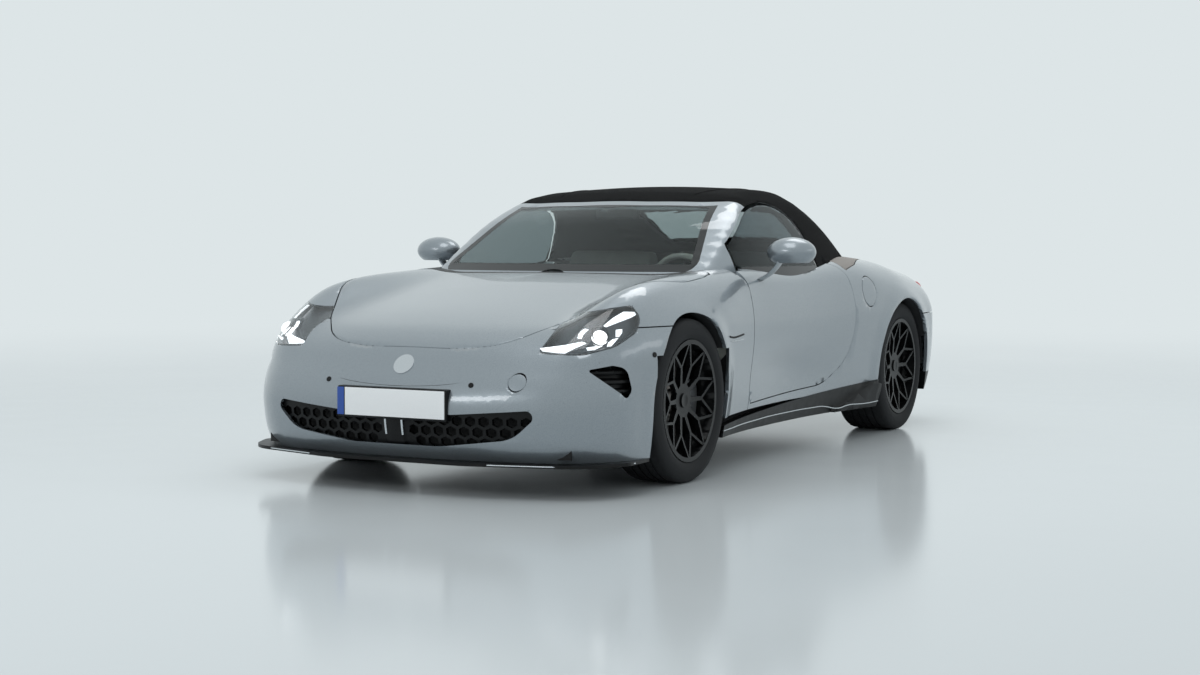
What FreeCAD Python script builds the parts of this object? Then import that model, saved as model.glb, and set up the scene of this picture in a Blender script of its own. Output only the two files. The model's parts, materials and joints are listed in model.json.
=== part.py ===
import FreeCAD, Part
import Sketcher
import math
import os

# Roadster with electric drive, fabric roof up and upward swinging doors.
# Axes: +X the car's left, -Y its front, +Z up. Origin on the ground, midway along and across.

V = FreeCAD.Vector
doc = FreeCAD.newDocument("Roadster")
sheet = doc.addObject("Spreadsheet::Sheet", "Sizes")

DRIVING_SIZES = [
    ("Overall", [
        ("length", 4535), ("width", 1913), ("height", 1329), ("wheelbase", 2690),
        ("front_overhang", 905), ("ground_clearance", 130),
        ("shut_gap", 5), ("seat_clearance", 0.3), ("overrun", 40), ("skin", 18), ("pane", 4),
    ]),
    ("Wheels", [
        ("tyre_radius", 352), ("tyre_width_front", 245), ("tyre_width_rear", 275),
        ("tyre_inset", 30), ("tyre_shoulder", 26), ("rim_radius", 262), ("rim_lip", 10),
        ("rim_wall", 7), ("rim_drop", 24), ("hub_radius", 72), ("hub_dish", 34),
        ("spoke_count", 10), ("spoke_split_radius", 158), ("spoke_depth", 26),
        ("spoke_root", 24), ("spoke_waist", 15), ("spoke_arm", 11), ("arch_radius", 378),
        ("arch_depth", 470), ("kingpin_inset", 58),
        ("disc_radius_front", 175), ("disc_radius_rear", 170), ("disc_thickness", 30),
        ("disc_bell_radius", 88), ("disc_inset", 70),
    ]),
    ("Shut lines", [
        ("bonnet_hinge_back", 1432.5), ("bonnet_hinge_height", 862), ("bonnet_rear", 1352),
        ("bonnet_round", 900),
        ("split_back", 362), ("split_height", 682), ("rear_split_height", 640),
        ("door_front", 1628), ("door_rear", 2895), ("door_bottom", 279), ("door_thickness", 64),
        ("door_hinge_lead", 75), ("door_hinge_across", 848), ("door_hinge_height", 812),
        ("door_trim_line", 760), ("door_outer_line", 802), ("door_sail", 66),
        ("door_slant", 0.8), ("door_axis_fall", 0.3), ("boot_front", 3880), ("boot_rear", 4405),
        ("boot_half_width", 560), ("boot_corner", 90), ("flap_radius", 78),
        ("flap_back", 3098), ("flap_height", 775), ("skirt_front_height", 196), ("skirt_rear_height", 318),
        ("diffuser_height", 300), ("flange", 12),
    ]),
    ("Front end", [
        ("lamp_yaw", 35), ("lamp_across", 788), ("lamp_back", 330), ("lamp_height", 653),
        ("lamp_depth", 72), ("lamp_wall", 5), ("lamp_half_length", 262), ("projector_radius", 34),
        ("grille_cell", 52), ("grille_web", 7), ("grille_recess", 18.3), ("grille_thickness", 16),
        ("strut_width", 84), ("intake_across", 850), ("intake_back", 285), ("intake_height", 475),
        ("intake_half_length", 128), ("intake_recess", 18.3), ("intake_thickness", 34), ("trim_round", 4),
        ("splitter_thickness", 14),
    ]),
    ("Cabin", [
        ("glass_seal", 15), ("roof_cloth", 20), ("pillar_depth", 28), ("header_width", 48),
        ("floor_height", 262), ("floor_plate", 14), ("sill_outer", 750), ("sill_width", 110),
        ("sill_top", 400), ("firewall_back", 1400), ("seat_bulkhead_back", 2905),
        ("battery_thickness", 108), ("battery_width", 1280), ("battery_length", 1560),
        ("seat_offset", 372), ("seat_width", 500), ("console_width", 210),
        ("steering_wheel_radius", 178), ("steering_grip", 15), ("steering_back", 2000),
        ("steering_height", 800), ("steering_tilt", 24), ("column_radius", 24),
        ("mirror_across", 985), ("mirror_back", 1850), ("mirror_height", 985), ("mirror_length", 236),
        ("mirror_depth", 190), ("mirror_rise", 140), ("mirror_stalk", 24), ("mirror_foot_height", 850),
        ("dash_half_width", 715), ("dash_round", 60), ("seat_round", 60), ("console_round", 60),
        ("cowl_height", 861.8), ("cowl_depth", 130), ("cowl_half_width", 735), ("cowl_front", 1170),
        ("bulkhead_height", 850),
    ]),
    ("Structure", [
        ("post_outer", 745), ("rail_offset", 440), ("rail_width", 55), ("rail_height", 430),
        ("front_beam_back", 143), ("front_beam_half", 580), ("tow_across", 543), ("tow_height", 467),
        ("tow_radius", 8), ("tow_cover_radius", 38), ("rear_beam_back", 4340), ("deck_beam_back", 3640),
        ("deck_beam_low", 880),
        ("liner_wall", 6), ("pin_radius", 7), ("door_pin_length", 60), ("boot_pin_across", 300),
        ("swan_drop", 60),
        ("boot_hinge_back", 3807.5), ("boot_hinge_height", 925), ("battery_back", 1490),
        ("drive_radius", 120), ("drive_length", 400), ("shaft_radius", 16), ("spindle_radius", 28),
        ("upright_radius", 34), ("upright_height", 244), ("arm_thickness", 18), ("caliper_height", 150),
        ("skirt_stand", 4), ("skirt_depth", 30), ("fin_stand", 22),
    ]),
    ("Stations", [
        ("cabin_start", "=firewall_back - length / 2"), ("cabin_end", "=seat_bulkhead_back - length / 2"),
        ("cabin_length", "=cabin_end - cabin_start"), ("front_beam_at", "=front_beam_back - length / 2"),
        ("rear_beam_at", "=rear_beam_back - length / 2"), ("deck_beam_at", "=deck_beam_back - length / 2"),
        ("battery_start", "=battery_back - length / 2"), ("front_axle_at", "=front_overhang - length / 2"),
        ("rear_axle_at", "=front_axle_at + wheelbase"),
    ]),
]

row = 1
for heading, entries in DRIVING_SIZES:
    sheet.set("A%d" % row, heading)
    row += 1
    for alias, value in entries:
        sheet.set("A%d" % row, alias)
        sheet.set("B%d" % row, str(value))
        sheet.setAlias("B%d" % row, alias)
        row += 1
doc.recompute()


def size(alias):
    return float(sheet.get(alias))


length = size("length")
height = size("height")
half_width = size("width") / 2
gap = size("shut_gap")
ease = size("seat_clearance")
skin = size("skin")
over = size("overrun")
nose_end = -length / 2
front_axle = nose_end + size("front_overhang")
rear_axle = front_axle + size("wheelbase")
tyre_radius = size("tyre_radius")
arch_radius = size("arch_radius")


def from_nose(alias):
    """Station of a size that is measured back from the nose."""
    return nose_end + size(alias)


# Fair curves of the body, each a natural cubic through shares of the overall sizes

def fair_curve(shares, along, across):
    at = [share[0] * along for share in shares]
    to = [share[1] * across for share in shares]
    last = len(at) - 1
    step = [at[i + 1] - at[i] for i in range(last)]
    pivot = [1.0] * (last + 1)
    load = [0.0] * (last + 1)
    for i in range(1, last):
        back = step[i - 1] / pivot[i - 1] if i > 1 else 0.0
        slope_change = (to[i + 1] - to[i]) / step[i] - (to[i] - to[i - 1]) / step[i - 1]
        pivot[i] = 2 * (step[i - 1] + step[i]) - back * step[i - 1]
        load[i] = 6 * slope_change - back * load[i - 1]
    bend = [0.0] * (last + 1)
    for i in range(last - 1, 0, -1):
        bend[i] = (load[i] - step[i] * bend[i + 1]) / pivot[i]

    def value(place):
        place = min(max(place, at[0]), at[last])
        i = 0
        while i < last - 1 and place > at[i + 1]:
            i += 1
        past = place - at[i]
        left = at[i + 1] - place
        sag = (bend[i] * left ** 3 + bend[i + 1] * past ** 3) / (6 * step[i])
        start = to[i] / step[i] - bend[i] * step[i] / 6
        end = to[i + 1] / step[i] - bend[i + 1] * step[i] / 6
        return sag + start * left + end * past

    return value


top_shares = ((0, .376), (.02, .440), (.05, .492), (.10, .543), (.16, .588), (.20, .6155), (.26, .653),
              (.295, .672), (.336, .683), (.45, .685), (.60, .700), (.68, .726), (.76, .741), (.85, .730),
              (.93, .715), (1, .712))
side_fall_shares = ((0, 0), (.05, .015), (.10, .0226), (.20, .0263), (.295, .0188), (.36, .0045),
                    (.50, .003), (.62, 0), (.70, .009), (.743, .024), (.787, .036), (.831, .051),
                    (.875, .064), (.919, .079), (.963, .105), (1, .128))
wing_crest_shares = ((0, 0), (.04, .0226), (.085, .0534), (.134, .0767), (.17, .0745), (.206, .0632),
                     (.25, .0436), (.286, .0256), (.336, .0075), (.40, 0), (1, 0))
waist_shares = ((0, .925), (.08, .9566), (.15, .9807), (.20, .988), (.26, .9775), (.336, .946),
                (.42, .928), (.50, .924), (.58, .9336), (.65, .9566), (.72, .9827), (.79, .9995),
                (.86, .995), (.93, .967), (1, .92))
widest_height_shares = ((0, .421), (.2, .4665), (.4, .4665), (.6, .4816), (.8, .4966), (1, .4665))
tumblehome_shares = ((0, .031), (.2, .037), (.35, .047), (.5, .052), (.65, .052), (.8, .052), (1, .042))
tuck_shares = ((0, .010), (.2, .016), (.35, .031), (.5, .036), (.6, .031), (.7, .021), (.8, .016), (1, .021))
shoulder_shares = ((0, .113), (.08, .120), (.2, .128), (.3, .098), (.36, .068), (.5, .060), (.62, .075),
                   (.7, .120), (.8, .150), (.9, .150), (1, .120))
nose_back_shares = ((.098, .0165), (.137, .0082), (.158, .0049), (.196, .0018), (.241, 0), (.275, 0),
                    (.316, .0026), (.354, .0077), (.39, .0137), (.421, .0174), (.452, .0216),
                    (.497, .0303), (.572, .0507), (.677, .0838), (.828, .1323))
tail_back_shares = ((.098, .0375), (.135, .0265), (.188, .0132), (.248, .0044), (.339, 0), (.452, .0018),
                    (.527, .0055), (.587, .0099), (.647, .0154), (.70, .0194), (.753, .0221), (.828, .0243))
roof_shares = ((.38, .924), (.427, .9496), (.45, .9654), (.478, .9819), (.5226, .997), (.5556, 1),
               (.588, .9917), (.633, .9541), (.686, .8841), (.7205, .8337), (.7406, .8081),
               (.7646, .7856), (.797, .750), (.83, .705))
belt_shares = ((.28, .732), (.319, .7716), (.39, .8259), (.5, .8489), (.588, .8364), (.654, .805),
               (.72, .737), (.787, .6377), (.83, .5436))

top_line = fair_curve(top_shares, length, height)
side_fall = fair_curve(side_fall_shares, length, height)
wing_crest = fair_curve(wing_crest_shares, length, height)
waist_line = fair_curve(waist_shares, length, half_width)
widest_height = fair_curve(widest_height_shares, length, height)
tumblehome = fair_curve(tumblehome_shares, length, half_width)
tuck_under = fair_curve(tuck_shares, length, half_width)
shoulder_round = fair_curve(shoulder_shares, length, height)
nose_back = fair_curve(nose_back_shares, height, length)
tail_back = fair_curve(tail_back_shares, height, length)
roof_line = fair_curve(roof_shares, length, height)
belt_line = fair_curve(belt_shares, length, half_width)

crest_place = .7945 * half_width
crest_spread = .136 * half_width
plan_round_share = .0573
nose_sweep_share = .0209
tail_sweep_share = .0243
door_hollow_depth_share = .0355
flare_share = .0105


def soft_max(one, other, radius):
    """Largest of two distances, with the corner between them rounded."""
    one = max(one + radius, 0)
    other = max(other + radius, 0)
    power = 2.3
    return (one ** power + other ** power) ** (1 / power) - radius


def body_top(x, y):
    back = y - nose_end
    crest = wing_crest(back) * math.exp(-((abs(x) - crest_place) / crest_spread) ** 2)
    return top_line(back) - side_fall(back) * (x / crest_place) ** 2 + crest


def body_side(y, z):
    back = y - nose_end
    rise = (z - widest_height(back)) / height
    side = waist_line(back)
    if rise > 0:
        side -= tumblehome(back) * (rise / .188) ** 2
    else:
        side -= tuck_under(back) * (rise / .263) ** 2
    along = (back / length - .467) / .0926
    up = (z / height - .316) / .0828
    side -= door_hollow_depth_share * half_width * math.exp(-along ** 2 - up ** 2)
    for axle in (front_axle, rear_axle):
        lip = (math.hypot(y - axle, z - tyre_radius) - arch_radius) / (.15 * arch_radius)
        side += flare_share * half_width * math.exp(-lip ** 2)
    return side


def body_form(x, y, z):
    """Signed distance in round terms: below zero inside the body."""
    sweep = (abs(x) / (.732 * half_width)) ** 2.6 * length
    if y < 0:
        end = nose_end + nose_back(z) + nose_sweep_share * sweep - y
    else:
        end = y + nose_end + tail_back(z) + tail_sweep_share * sweep
    plan = soft_max(abs(x) - body_side(y, z), end, plan_round_share * length)
    return soft_max(plan, z - body_top(x, y), shoulder_round(y - nose_end))


screen_angle = math.radians(30.8)
screen_foot_share = .295
screen_foot_height_share = .681
screen_bow_share = .0265
cabin_side_slope = .40
cabin_side_curve_share = .287
roof_round_share = .083
pillar_round_share = .045
roof_camber_share = .0196


def cabin_form(x, y, z):
    """Signed distance of windscreen, side glass and fabric roof together."""
    back = y - nose_end
    rise = z - screen_foot_height_share * height
    side = belt_line(back) - cabin_side_slope * rise - cabin_side_curve_share * rise ** 2 / half_width
    bow = screen_bow_share * length * (x / (.764 * half_width)) ** 2
    foot = nose_end + screen_foot_share * length + rise / math.tan(screen_angle) + bow
    screen = (foot - y) * math.sin(screen_angle)
    top = z - roof_line(back) + roof_camber_share * height * (x / (.5855 * half_width)) ** 2
    walls = soft_max(abs(x) - side, screen, pillar_round_share * height)
    return soft_max(walls, top, roof_round_share * height)


# Surfaces sampled from a form along rays, and the slabs between two of them

def reach(form, origin, ray, level):
    near = 0
    far = length / 2
    for halving in range(18):
        middle = (near + far) / 2
        if form(origin.x + ray.x * middle, origin.y + ray.y * middle, origin.z + ray.z * middle) < level:
            near = middle
        else:
            far = middle
    return origin + ray * near


def sheet_face(form, rays, level):
    surface = Part.BSplineSurface()
    surface.interpolate([[reach(form, origin, ray, level) for origin, ray in line] for line in rays])
    return surface.toShape()


def solid_from(faces):
    shell = Part.makeShell(faces)
    shell.sewShape()
    solid = Part.makeSolid(shell)
    if solid.Volume < 0:
        solid.reverse()
    return solid


def slab(form, rays, outer, inner):
    """Solid between two levels of a form, given as depths below it."""
    outside = sheet_face(form, rays, -outer)
    inside = sheet_face(form, rays, -inner)
    walls = [Part.makeRuledSurface(one, other) for one, other in zip(outside.Edges, inside.Edges)]
    return solid_from([outside, inside] + walls)


def bulk(form, rays, outer):
    """Solid from a level of a form in to a thin core along the start of the rays."""
    outside = sheet_face(form, rays, -outer)
    surface = Part.BSplineSurface()
    surface.interpolate([[origin + ray * over for origin, ray in line] for line in rays])
    inside = surface.toShape()
    walls = [Part.makeRuledSurface(one, other) for one, other in zip(outside.Edges, inside.Edges)]
    return solid_from([outside, inside] + walls)


def spaced(first, last, steps):
    return [first + (last - first) * step / steps for step in range(steps + 1)]


axis_height = .248 * height
front_pole = nose_end + .18 * length
rear_pole = nose_end + .81 * length
spread_share = .60
section_sweep = 104


def fan_section(first, last, steps):
    """Starts and turns of rays that all leave the axis."""
    return [(0, turn) for turn in spaced(first, last, steps)]


def wide_section(steps):
    """Starts spread across the car, so that no ray grazes the wing crests."""
    section = []
    for share in spaced(-1, 1, steps):
        hand = math.copysign(1, share)
        start = spread_share * half_width * (1 - (1 - abs(share)) ** 1.6)
        section.append((hand * start, hand * section_sweep * abs(share) ** 2.2))
    return section


def capsule_rays(first, last, section, lean_front, lean_rear, steps, axis=axis_height):
    """Rays square to a line along the car, fanned forward and back past its ends."""
    lines = [(first, math.radians(lean)) for lean in lean_front]
    lines += [(y, 0) for y in spaced(first, last, steps)]
    lines += [(last, -math.radians(lean)) for lean in lean_rear]
    rays = []
    for y, lean in lines:
        line = []
        for start, turn in section:
            angle = math.radians(turn)
            flat = math.cos(lean)
            ray = V(math.sin(angle) * flat, -math.sin(lean), math.cos(angle) * flat)
            line.append((V(start, y, axis), ray))
        rays.append(line)
    return rays


def globe_rays(pole, forward, turns, rises):
    """Rays from one point, by bearing and by rise."""
    origin = V(0, pole, axis_height)
    rays = []
    for turn in turns:
        bearing = math.radians(turn)
        line = []
        for rise in rises:
            lift = math.radians(rise)
            flat = math.cos(lift)
            ray = V(math.sin(bearing) * flat, -forward * math.cos(bearing) * flat, math.sin(lift))
            line.append((origin, ray))
        rays.append(line)
    return rays


# Outlines with rounded corners, and the prisms that cut panels along them

def rounded_wire(corners):
    """Closed outline through (across, up, radius) corners, each corner an arc."""
    count = len(corners)
    places = [V(corner[0], corner[1], 0) for corner in corners]
    edges = []
    ends = []
    for i in range(count):
        here = places[i]
        back = (places[i - 1] - here)
        ahead = (places[(i + 1) % count] - here)
        if corners[i][2] == 0:
            ends.append((here, here))
            continue
        half = back.getAngle(ahead) / 2
        trim = min(corners[i][2] / math.tan(half), back.Length * .48, ahead.Length * .48)
        start = here + back * (trim / back.Length)
        end = here + ahead * (trim / ahead.Length)
        radius = trim * math.tan(half)
        inward = (back * (1 / back.Length) + ahead * (1 / ahead.Length))
        middle = here + inward * ((radius / math.sin(half) - radius) / inward.Length)
        edges.append((i, Part.Arc(start, middle, end).toShape()))
        ends.append((start, end))
    arcs = dict(edges)
    path = []
    for i in range(count):
        if i in arcs:
            path.append(arcs[i])
        start = ends[i][1]
        end = ends[(i + 1) % count][0]
        if (end - start).Length > ease / 10:
            path.append(Part.LineSegment(start, end).toShape())
    return Part.Wire(path)


PLANES = {
    "plan": FreeCAD.Rotation(),
    "front": FreeCAD.Rotation(V(1, 0, 0), 90),
    "side": FreeCAD.Rotation(V(1, 1, 1), 120),
}


def prism(wire, plane, near, far, slant=0):
    """Prism of an outline drawn in plan, front or side view, from near to far."""
    face = Part.Face(wire)
    run = V(0, 0, far - near)
    face.translate(V(0, 0, near))
    if slant:
        face.translate(V(slant * near, 0, 0))
        run = V(slant * (far - near), 0, far - near)
    solid = face.extrude(run)
    solid.Placement = FreeCAD.Placement(V(), PLANES[plane])
    return solid


def box_between(low, high):
    """Box between two corners."""
    return Part.makeBox(high.x - low.x, high.y - low.y, high.z - low.z, low)


def mirrored(shape):
    return shape.mirror(V(), V(1, 0, 0))


def along_x(radius, near, far, y, z):
    return Part.makeCylinder(radius, far - near, V(near, y, z), V(1, 0, 0))


def piece(label, shape):
    """Named sub-part whose shape comes from the forms above."""
    if len(shape.Solids) == 1:
        shape = shape.Solids[0]
    item = doc.addObject("Part::Feature", label)
    item.Label = label
    item.Shape = shape
    sub_parts.append(item)
    return item


def largest(shape):
    return max(shape.Solids, key=lambda solid: solid.Volume)


sub_parts = []

def grown(corners, distance):
    """Rounded outline moved outward by a distance all round."""
    count = len(corners)
    area = 0
    for i in range(count):
        area += corners[i - 1][0] * corners[i][1] - corners[i][0] * corners[i - 1][1]
    side = 1 if area > 0 else -1
    moved = []
    for i in range(count):
        before = corners[i - 1]
        here = corners[i]
        after = corners[(i + 1) % count]
        first = V(here[0] - before[0], here[1] - before[1], 0).normalize()
        second = V(after[0] - here[0], after[1] - here[1], 0).normalize()
        bisector = V(first.y + second.y, -first.x - second.x, 0) * side
        stretch = 2 * distance / bisector.Length ** 2
        bend = (first.x * second.y - first.y * second.x) * side
        radius = max(here[2] + (distance if bend > 0 else -distance), 0)
        moved.append((here[0] + bisector.x * stretch, here[1] + bisector.y * stretch, radius))
    return moved


def scaled(shares, across, up, radius):
    """Outline given in shares of two sizes, with corner radii in shares of a third."""
    return [(share[0] * across, share[1] * up, share[2] * radius) for share in shares]


def both_sides(half):
    """Outline closed by mirroring its right half about the middle."""
    return half + [(-corner[0], corner[1], corner[2]) for corner in reversed(half)]


def stationed(shares, radius_unit):
    """Side outline: stations in shares of length from the nose, heights in shares of height."""
    return [(nose_end + share[0] * length, share[1] * height, share[2] * radius_unit) for share in shares]


def plan_half(shares, radius_unit):
    """Plan outline: offsets in shares of half width, stations in shares of length."""
    return [(share[0] * half_width, nose_end + share[1] * length, share[2] * radius_unit) for share in shares]


# Skins of the body and of the cabin

main_rays = capsule_rays(front_pole, rear_pole, wide_section(66), spaced(82, 5, 16), spaced(5, 72, 13), 42)
front_rays = globe_rays(front_pole, 1, spaced(-98, 98, 60), spaced(-18, 44, 26))
rear_rays = globe_rays(rear_pole, -1, spaced(-98, 98, 50), spaced(-16, 40, 22))
flank_rays = capsule_rays(from_nose("door_front") - 5 * over, from_nose("door_rear") + 5 * over,
                          fan_section(38, 104, 32), [], [], 20)
skirt_rays = capsule_rays(front_axle + arch_radius - over, rear_axle - arch_radius + over,
                          fan_section(70, 116, 16), [], [], 24)
outer_skin = slab(body_form, main_rays, 0, skin)
front_skin = slab(body_form, front_rays, 0, skin)
rear_skin = slab(body_form, rear_rays, 0, skin)
door_skin = slab(body_form, flank_rays, 0, size("door_thickness"))

cabin_axis = .6 * height
cabin_front = nose_end + .375 * length
cabin_rear = nose_end + .829 * length
cabin_grid = capsule_rays(cabin_front, cabin_rear, fan_section(-104, 104, 60), spaced(74, 5, 16), [], 36,
                          cabin_axis)
pane = size("pane")
glass_skin = slab(cabin_form, cabin_grid, ease, pane + ease)
frame_skin = slab(cabin_form, cabin_grid, 0, size("pillar_depth"))
cloth_skin = slab(cabin_form, cabin_grid, 0, size("roof_cloth"))

# Wheel housings: a clear drum about each wheel, and for the front the sweep of the steered tyre

track_front = half_width - size("tyre_inset") - size("tyre_width_front") / 2
track_rear = half_width - size("tyre_inset") - size("tyre_width_rear") / 2
kingpin = track_front - size("kingpin_inset")
housing_inner = half_width - size("arch_depth")


def housing(axle):
    drum = along_x(arch_radius, housing_inner, half_width + over, axle, tyre_radius)
    below = box_between(V(housing_inner, axle - arch_radius, -over),
                        V(half_width + over, axle + arch_radius, tyre_radius))
    return drum.fuse(below)


steer_reach = math.hypot(tyre_radius, size("kingpin_inset") + size("tyre_width_front") / 2) + 2 * gap
steer_room = Part.makeCylinder(steer_reach, tyre_radius * 1.6, V(kingpin, front_axle, 0))
steer_box = box_between(V(housing_inner, nose_end, -over), V(half_width + over, 0, height))
steer_room = steer_room.common(steer_box)
steer_outer = kingpin + size("tyre_width_front") / 2
steer_drum = along_x(steer_reach, housing_inner, steer_outer, front_axle, tyre_radius)
front_housing = housing(front_axle).fuse([steer_room, steer_drum])
rear_housing = housing(rear_axle)
wheel_room = [front_housing, mirrored(front_housing), rear_housing, mirrored(rear_housing)]

# Outlines of the panels

bonnet_shares = ((.25, .0331, 1), (.46, .0425, .30), (.617, .0855, .60), (.755, .145, .80),
                 (.849, .2288, .50), (.843, .2773, .30), (.822, .3020, .03), (.62, .2925, 1), (.25, .2840, 1))
bonnet_outline = both_sides(plan_half(bonnet_shares, size("bonnet_round")))
bonnet_prism = prism(rounded_wire(bonnet_outline), "plan", axis_height, height)
bonnet_room = prism(rounded_wire(grown(bonnet_outline, gap)), "plan", axis_height, height)

def skirt_line(y):
    """Height of the painted body's lower edge, rising to the rear."""
    share = (y - front_axle) / size("wheelbase")
    return (size("skirt_front_height") * (1 - share) + size("skirt_rear_height") * share)


split_y = from_nose("split_back")
split_z = size("split_height")
rear_split_z = size("rear_split_height")
door_front_y = from_nose("door_front")
door_rear_y = from_nose("door_rear")
door_bottom = size("door_bottom")
tail_end = nose_end + length
wide = half_width + 4 * over

wing_outline = [
    (split_y, split_z, 0), (split_y, height, 0), (door_front_y - gap, height, 0),
    (door_front_y - gap, skirt_line(door_front_y), 0), (front_axle, skirt_line(front_axle), 0),
    (front_axle, split_z, 0),
]
bumper_outline = [
    (split_y - gap, height, 0), (split_y - gap, split_z - gap, 0), (front_axle, split_z - gap, 0),
    (front_axle, size("ground_clearance") + size("splitter_thickness") + ease, 0),
    (nose_end - over, size("ground_clearance") + size("splitter_thickness") + ease, 0),
    (nose_end - over, height, 0),
]
quarter_outline = [
    (door_front_y, skirt_line(door_front_y), 0), (rear_axle, skirt_line(rear_axle), 0),
    (rear_axle, rear_split_z, 0), (tail_end + over, rear_split_z, 0), (tail_end + over, height, 0),
    (door_front_y, height, 0),
]
rear_bumper_outline = [
    (rear_axle, rear_split_z - gap, 0), (tail_end + over, rear_split_z - gap, 0),
    (tail_end + over, size("diffuser_height"), 0), (rear_axle, size("diffuser_height"), 0),
]

door_rear_shares = ((.5761, .2378, .30), (.6235, .316, .34), (.6411, .4515, .40), (.6385, 1.1, 0))


def door_outline(front, back):
    ahead = [(door_front_y - front, height * 1.1, 0),
             (door_front_y - front, door_bottom - 2 * gap, .055 * height)]
    behind = stationed(door_rear_shares, height)
    return ahead + [(corner[0] + back, corner[1], corner[2]) for corner in behind]


def door_region(margin):
    """Room of the door: square at the front, slanted inward at the rear so that it swings clear."""
    slant = size("door_slant")
    front = prism(rounded_wire(grown(door_outline(0, 12 * over), margin)), "side", half_width * .7, wide)
    outline = [(corner[0] - slant * half_width * .95, corner[1], corner[2])
               for corner in grown(door_outline(12 * over, 0), margin)]
    back = prism(rounded_wire(outline), "side", half_width * .7, wide, slant)
    return front.common(back)


hinge_y = door_front_y - size("door_hinge_lead")
hinge_at = V(size("door_hinge_across"), hinge_y, size("door_hinge_height"))
hinge_line = V(1, 0, -size("door_axis_fall")).normalize()


def about_hinge(radius, near, far):
    return Part.makeCylinder(radius, far - near, hinge_at + hinge_line * near, hinge_line)


hinge_swing = about_hinge(size("door_hinge_lead"), -6 * over, 4 * over)
hinge_keep = about_hinge(size("door_hinge_lead") - gap, -6 * over, 4 * over)
hinge_top = [(hinge_y, hinge_at.z - over, 0), (door_front_y + over, hinge_at.z - over, 0),
             (door_front_y + over, height, 0), (hinge_y, height, 0)]
hinge_room = prism(rounded_wire(hinge_top), "side", half_width * .7, wide).cut(hinge_keep)

cabin_bulk = bulk(cabin_form, cabin_grid, -gap)
door_prism = door_region(0)
door_room = door_region(gap)

flap_at = V(half_width, from_nose("flap_back"), size("flap_height"))
flap_prism = along_x(size("flap_radius"), half_width * .6, wide, flap_at.y, flap_at.z)
flap_room = along_x(size("flap_radius") + gap, half_width * .6, wide, flap_at.y, flap_at.z)

boot_half = size("boot_half_width")
boot_front = from_nose("boot_front")
boot_rear = from_nose("boot_rear")
boot_outline = [(boot_half, boot_front, size("boot_corner")), (boot_half, boot_rear, size("boot_corner")),
                (-boot_half, boot_rear, size("boot_corner")), (-boot_half, boot_front, size("boot_corner"))]
boot_prism = prism(rounded_wire(boot_outline), "plan", rear_split_z, height)
boot_room = prism(rounded_wire(grown(boot_outline, gap)), "plan", rear_split_z, height)

tail_half = boot_half - size("boot_corner")
band_low = rear_split_z - 3 * gap
tail_band = box_between(V(-tail_half, boot_rear + gap, band_low), V(tail_half, tail_end + over, height))
tail_room = box_between(V(-tail_half - gap, boot_rear, band_low), V(tail_half + gap, tail_end + over, height))

tonneau_shares = ((.889, .6396, .02), (.868, .68, .3), (.81, .72, .3), (.721, .787, .3),
                  (.627, .83, .2), (.585, .8535, .01))
tonneau_outline = both_sides(plan_half(tonneau_shares, half_width))
tonneau_prism = prism(rounded_wire(tonneau_outline), "plan", axis_height, height)
tonneau_room = prism(rounded_wire(grown(tonneau_outline, gap)), "plan", axis_height, height)

# Front lamps, side intakes and lower grille

lamp_turn = FreeCAD.Rotation(V(0, 0, 1), size("lamp_yaw"))
lamp_at = V(size("lamp_across"), from_nose("lamp_back"), size("lamp_height"))


def turned_prism(corners, at, near, far):
    """Prism of an outline drawn on a plane that faces forward and outward."""
    solid = prism(rounded_wire(corners), "front", near, far)
    solid.Placement = FreeCAD.Placement(at, lamp_turn).multiply(solid.Placement)
    return solid


lamp_shares = ((-.98, -.28, .04), (-.60, .13, .9), (-.22, .325, .5), (.20, .40, .3), (.56, .44, .12),
               (.70, .26, .2), (.60, .03, .3), (.22, -.18, .5), (-.30, -.30, .8))
lamp_half = size("lamp_half_length")
lamp_outline = scaled(lamp_shares, lamp_half, lamp_half, lamp_half)
intake_shares = ((-.70, .33, .05), (.14, .46, .3), (.62, .36, .4), (.80, -.35, .3), (.60, -.62, .10),
                 (.40, -.42, .5))
intake_half = size("intake_half_length")
intake_outline = scaled(intake_shares, intake_half, intake_half, intake_half)
intake_at = V(size("intake_across"), from_nose("intake_back"), size("intake_height"))

grille_shares = ((.28, .250, .2), (.703, .2735, .02), (.56, .180, .12), (.22, .150, .3))
grille_outline = both_sides([(share[0] * half_width, share[1] * height, share[2] * height)
                             for share in grille_shares])


def facing_front(corners, near, far):
    return prism(rounded_wire(corners), "front", near, far)


grille_near = -front_pole
grille_far = -nose_end + over
lamp_reach = 9 * over
lamp_behind = 6 * over
lamp_prism = turned_prism(lamp_outline, lamp_at, -lamp_behind, lamp_reach)
lamp_room = turned_prism(grown(lamp_outline, 2 * ease), lamp_at, -lamp_behind, lamp_reach)
intake_prism = turned_prism(intake_outline, intake_at, -lamp_reach / 2, lamp_reach)
grille_prism = facing_front(grille_outline, grille_near, grille_far)

lens_skin = slab(body_form, main_rays, 0, pane)
bowl_skin = slab(body_form, main_rays, pane + ease, size("lamp_depth"))
hollow_skin = slab(body_form, main_rays, 0, size("lamp_depth") - size("lamp_wall"))
lens = largest(lens_skin.common(lamp_prism).cut(bonnet_room))
bowl_inside = hollow_skin.common(turned_prism(grown(lamp_outline, -size("lamp_wall")), lamp_at,
                                              -lamp_behind, lamp_reach))
bowl = largest(bowl_skin.common(lamp_prism)).cut([bowl_inside, bonnet_room, wheel_room[0]])
beam = lamp_turn.multVec(V(0, -1, 0))
projector_at = lamp_at - beam * size("lamp_depth") * 2
projector = Part.makeCylinder(size("projector_radius"), size("lamp_depth") * 2.2, projector_at, beam)
projector = projector.common(bowl_skin)
bowl = largest(bowl.fuse(projector))

# Painted panels

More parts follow.
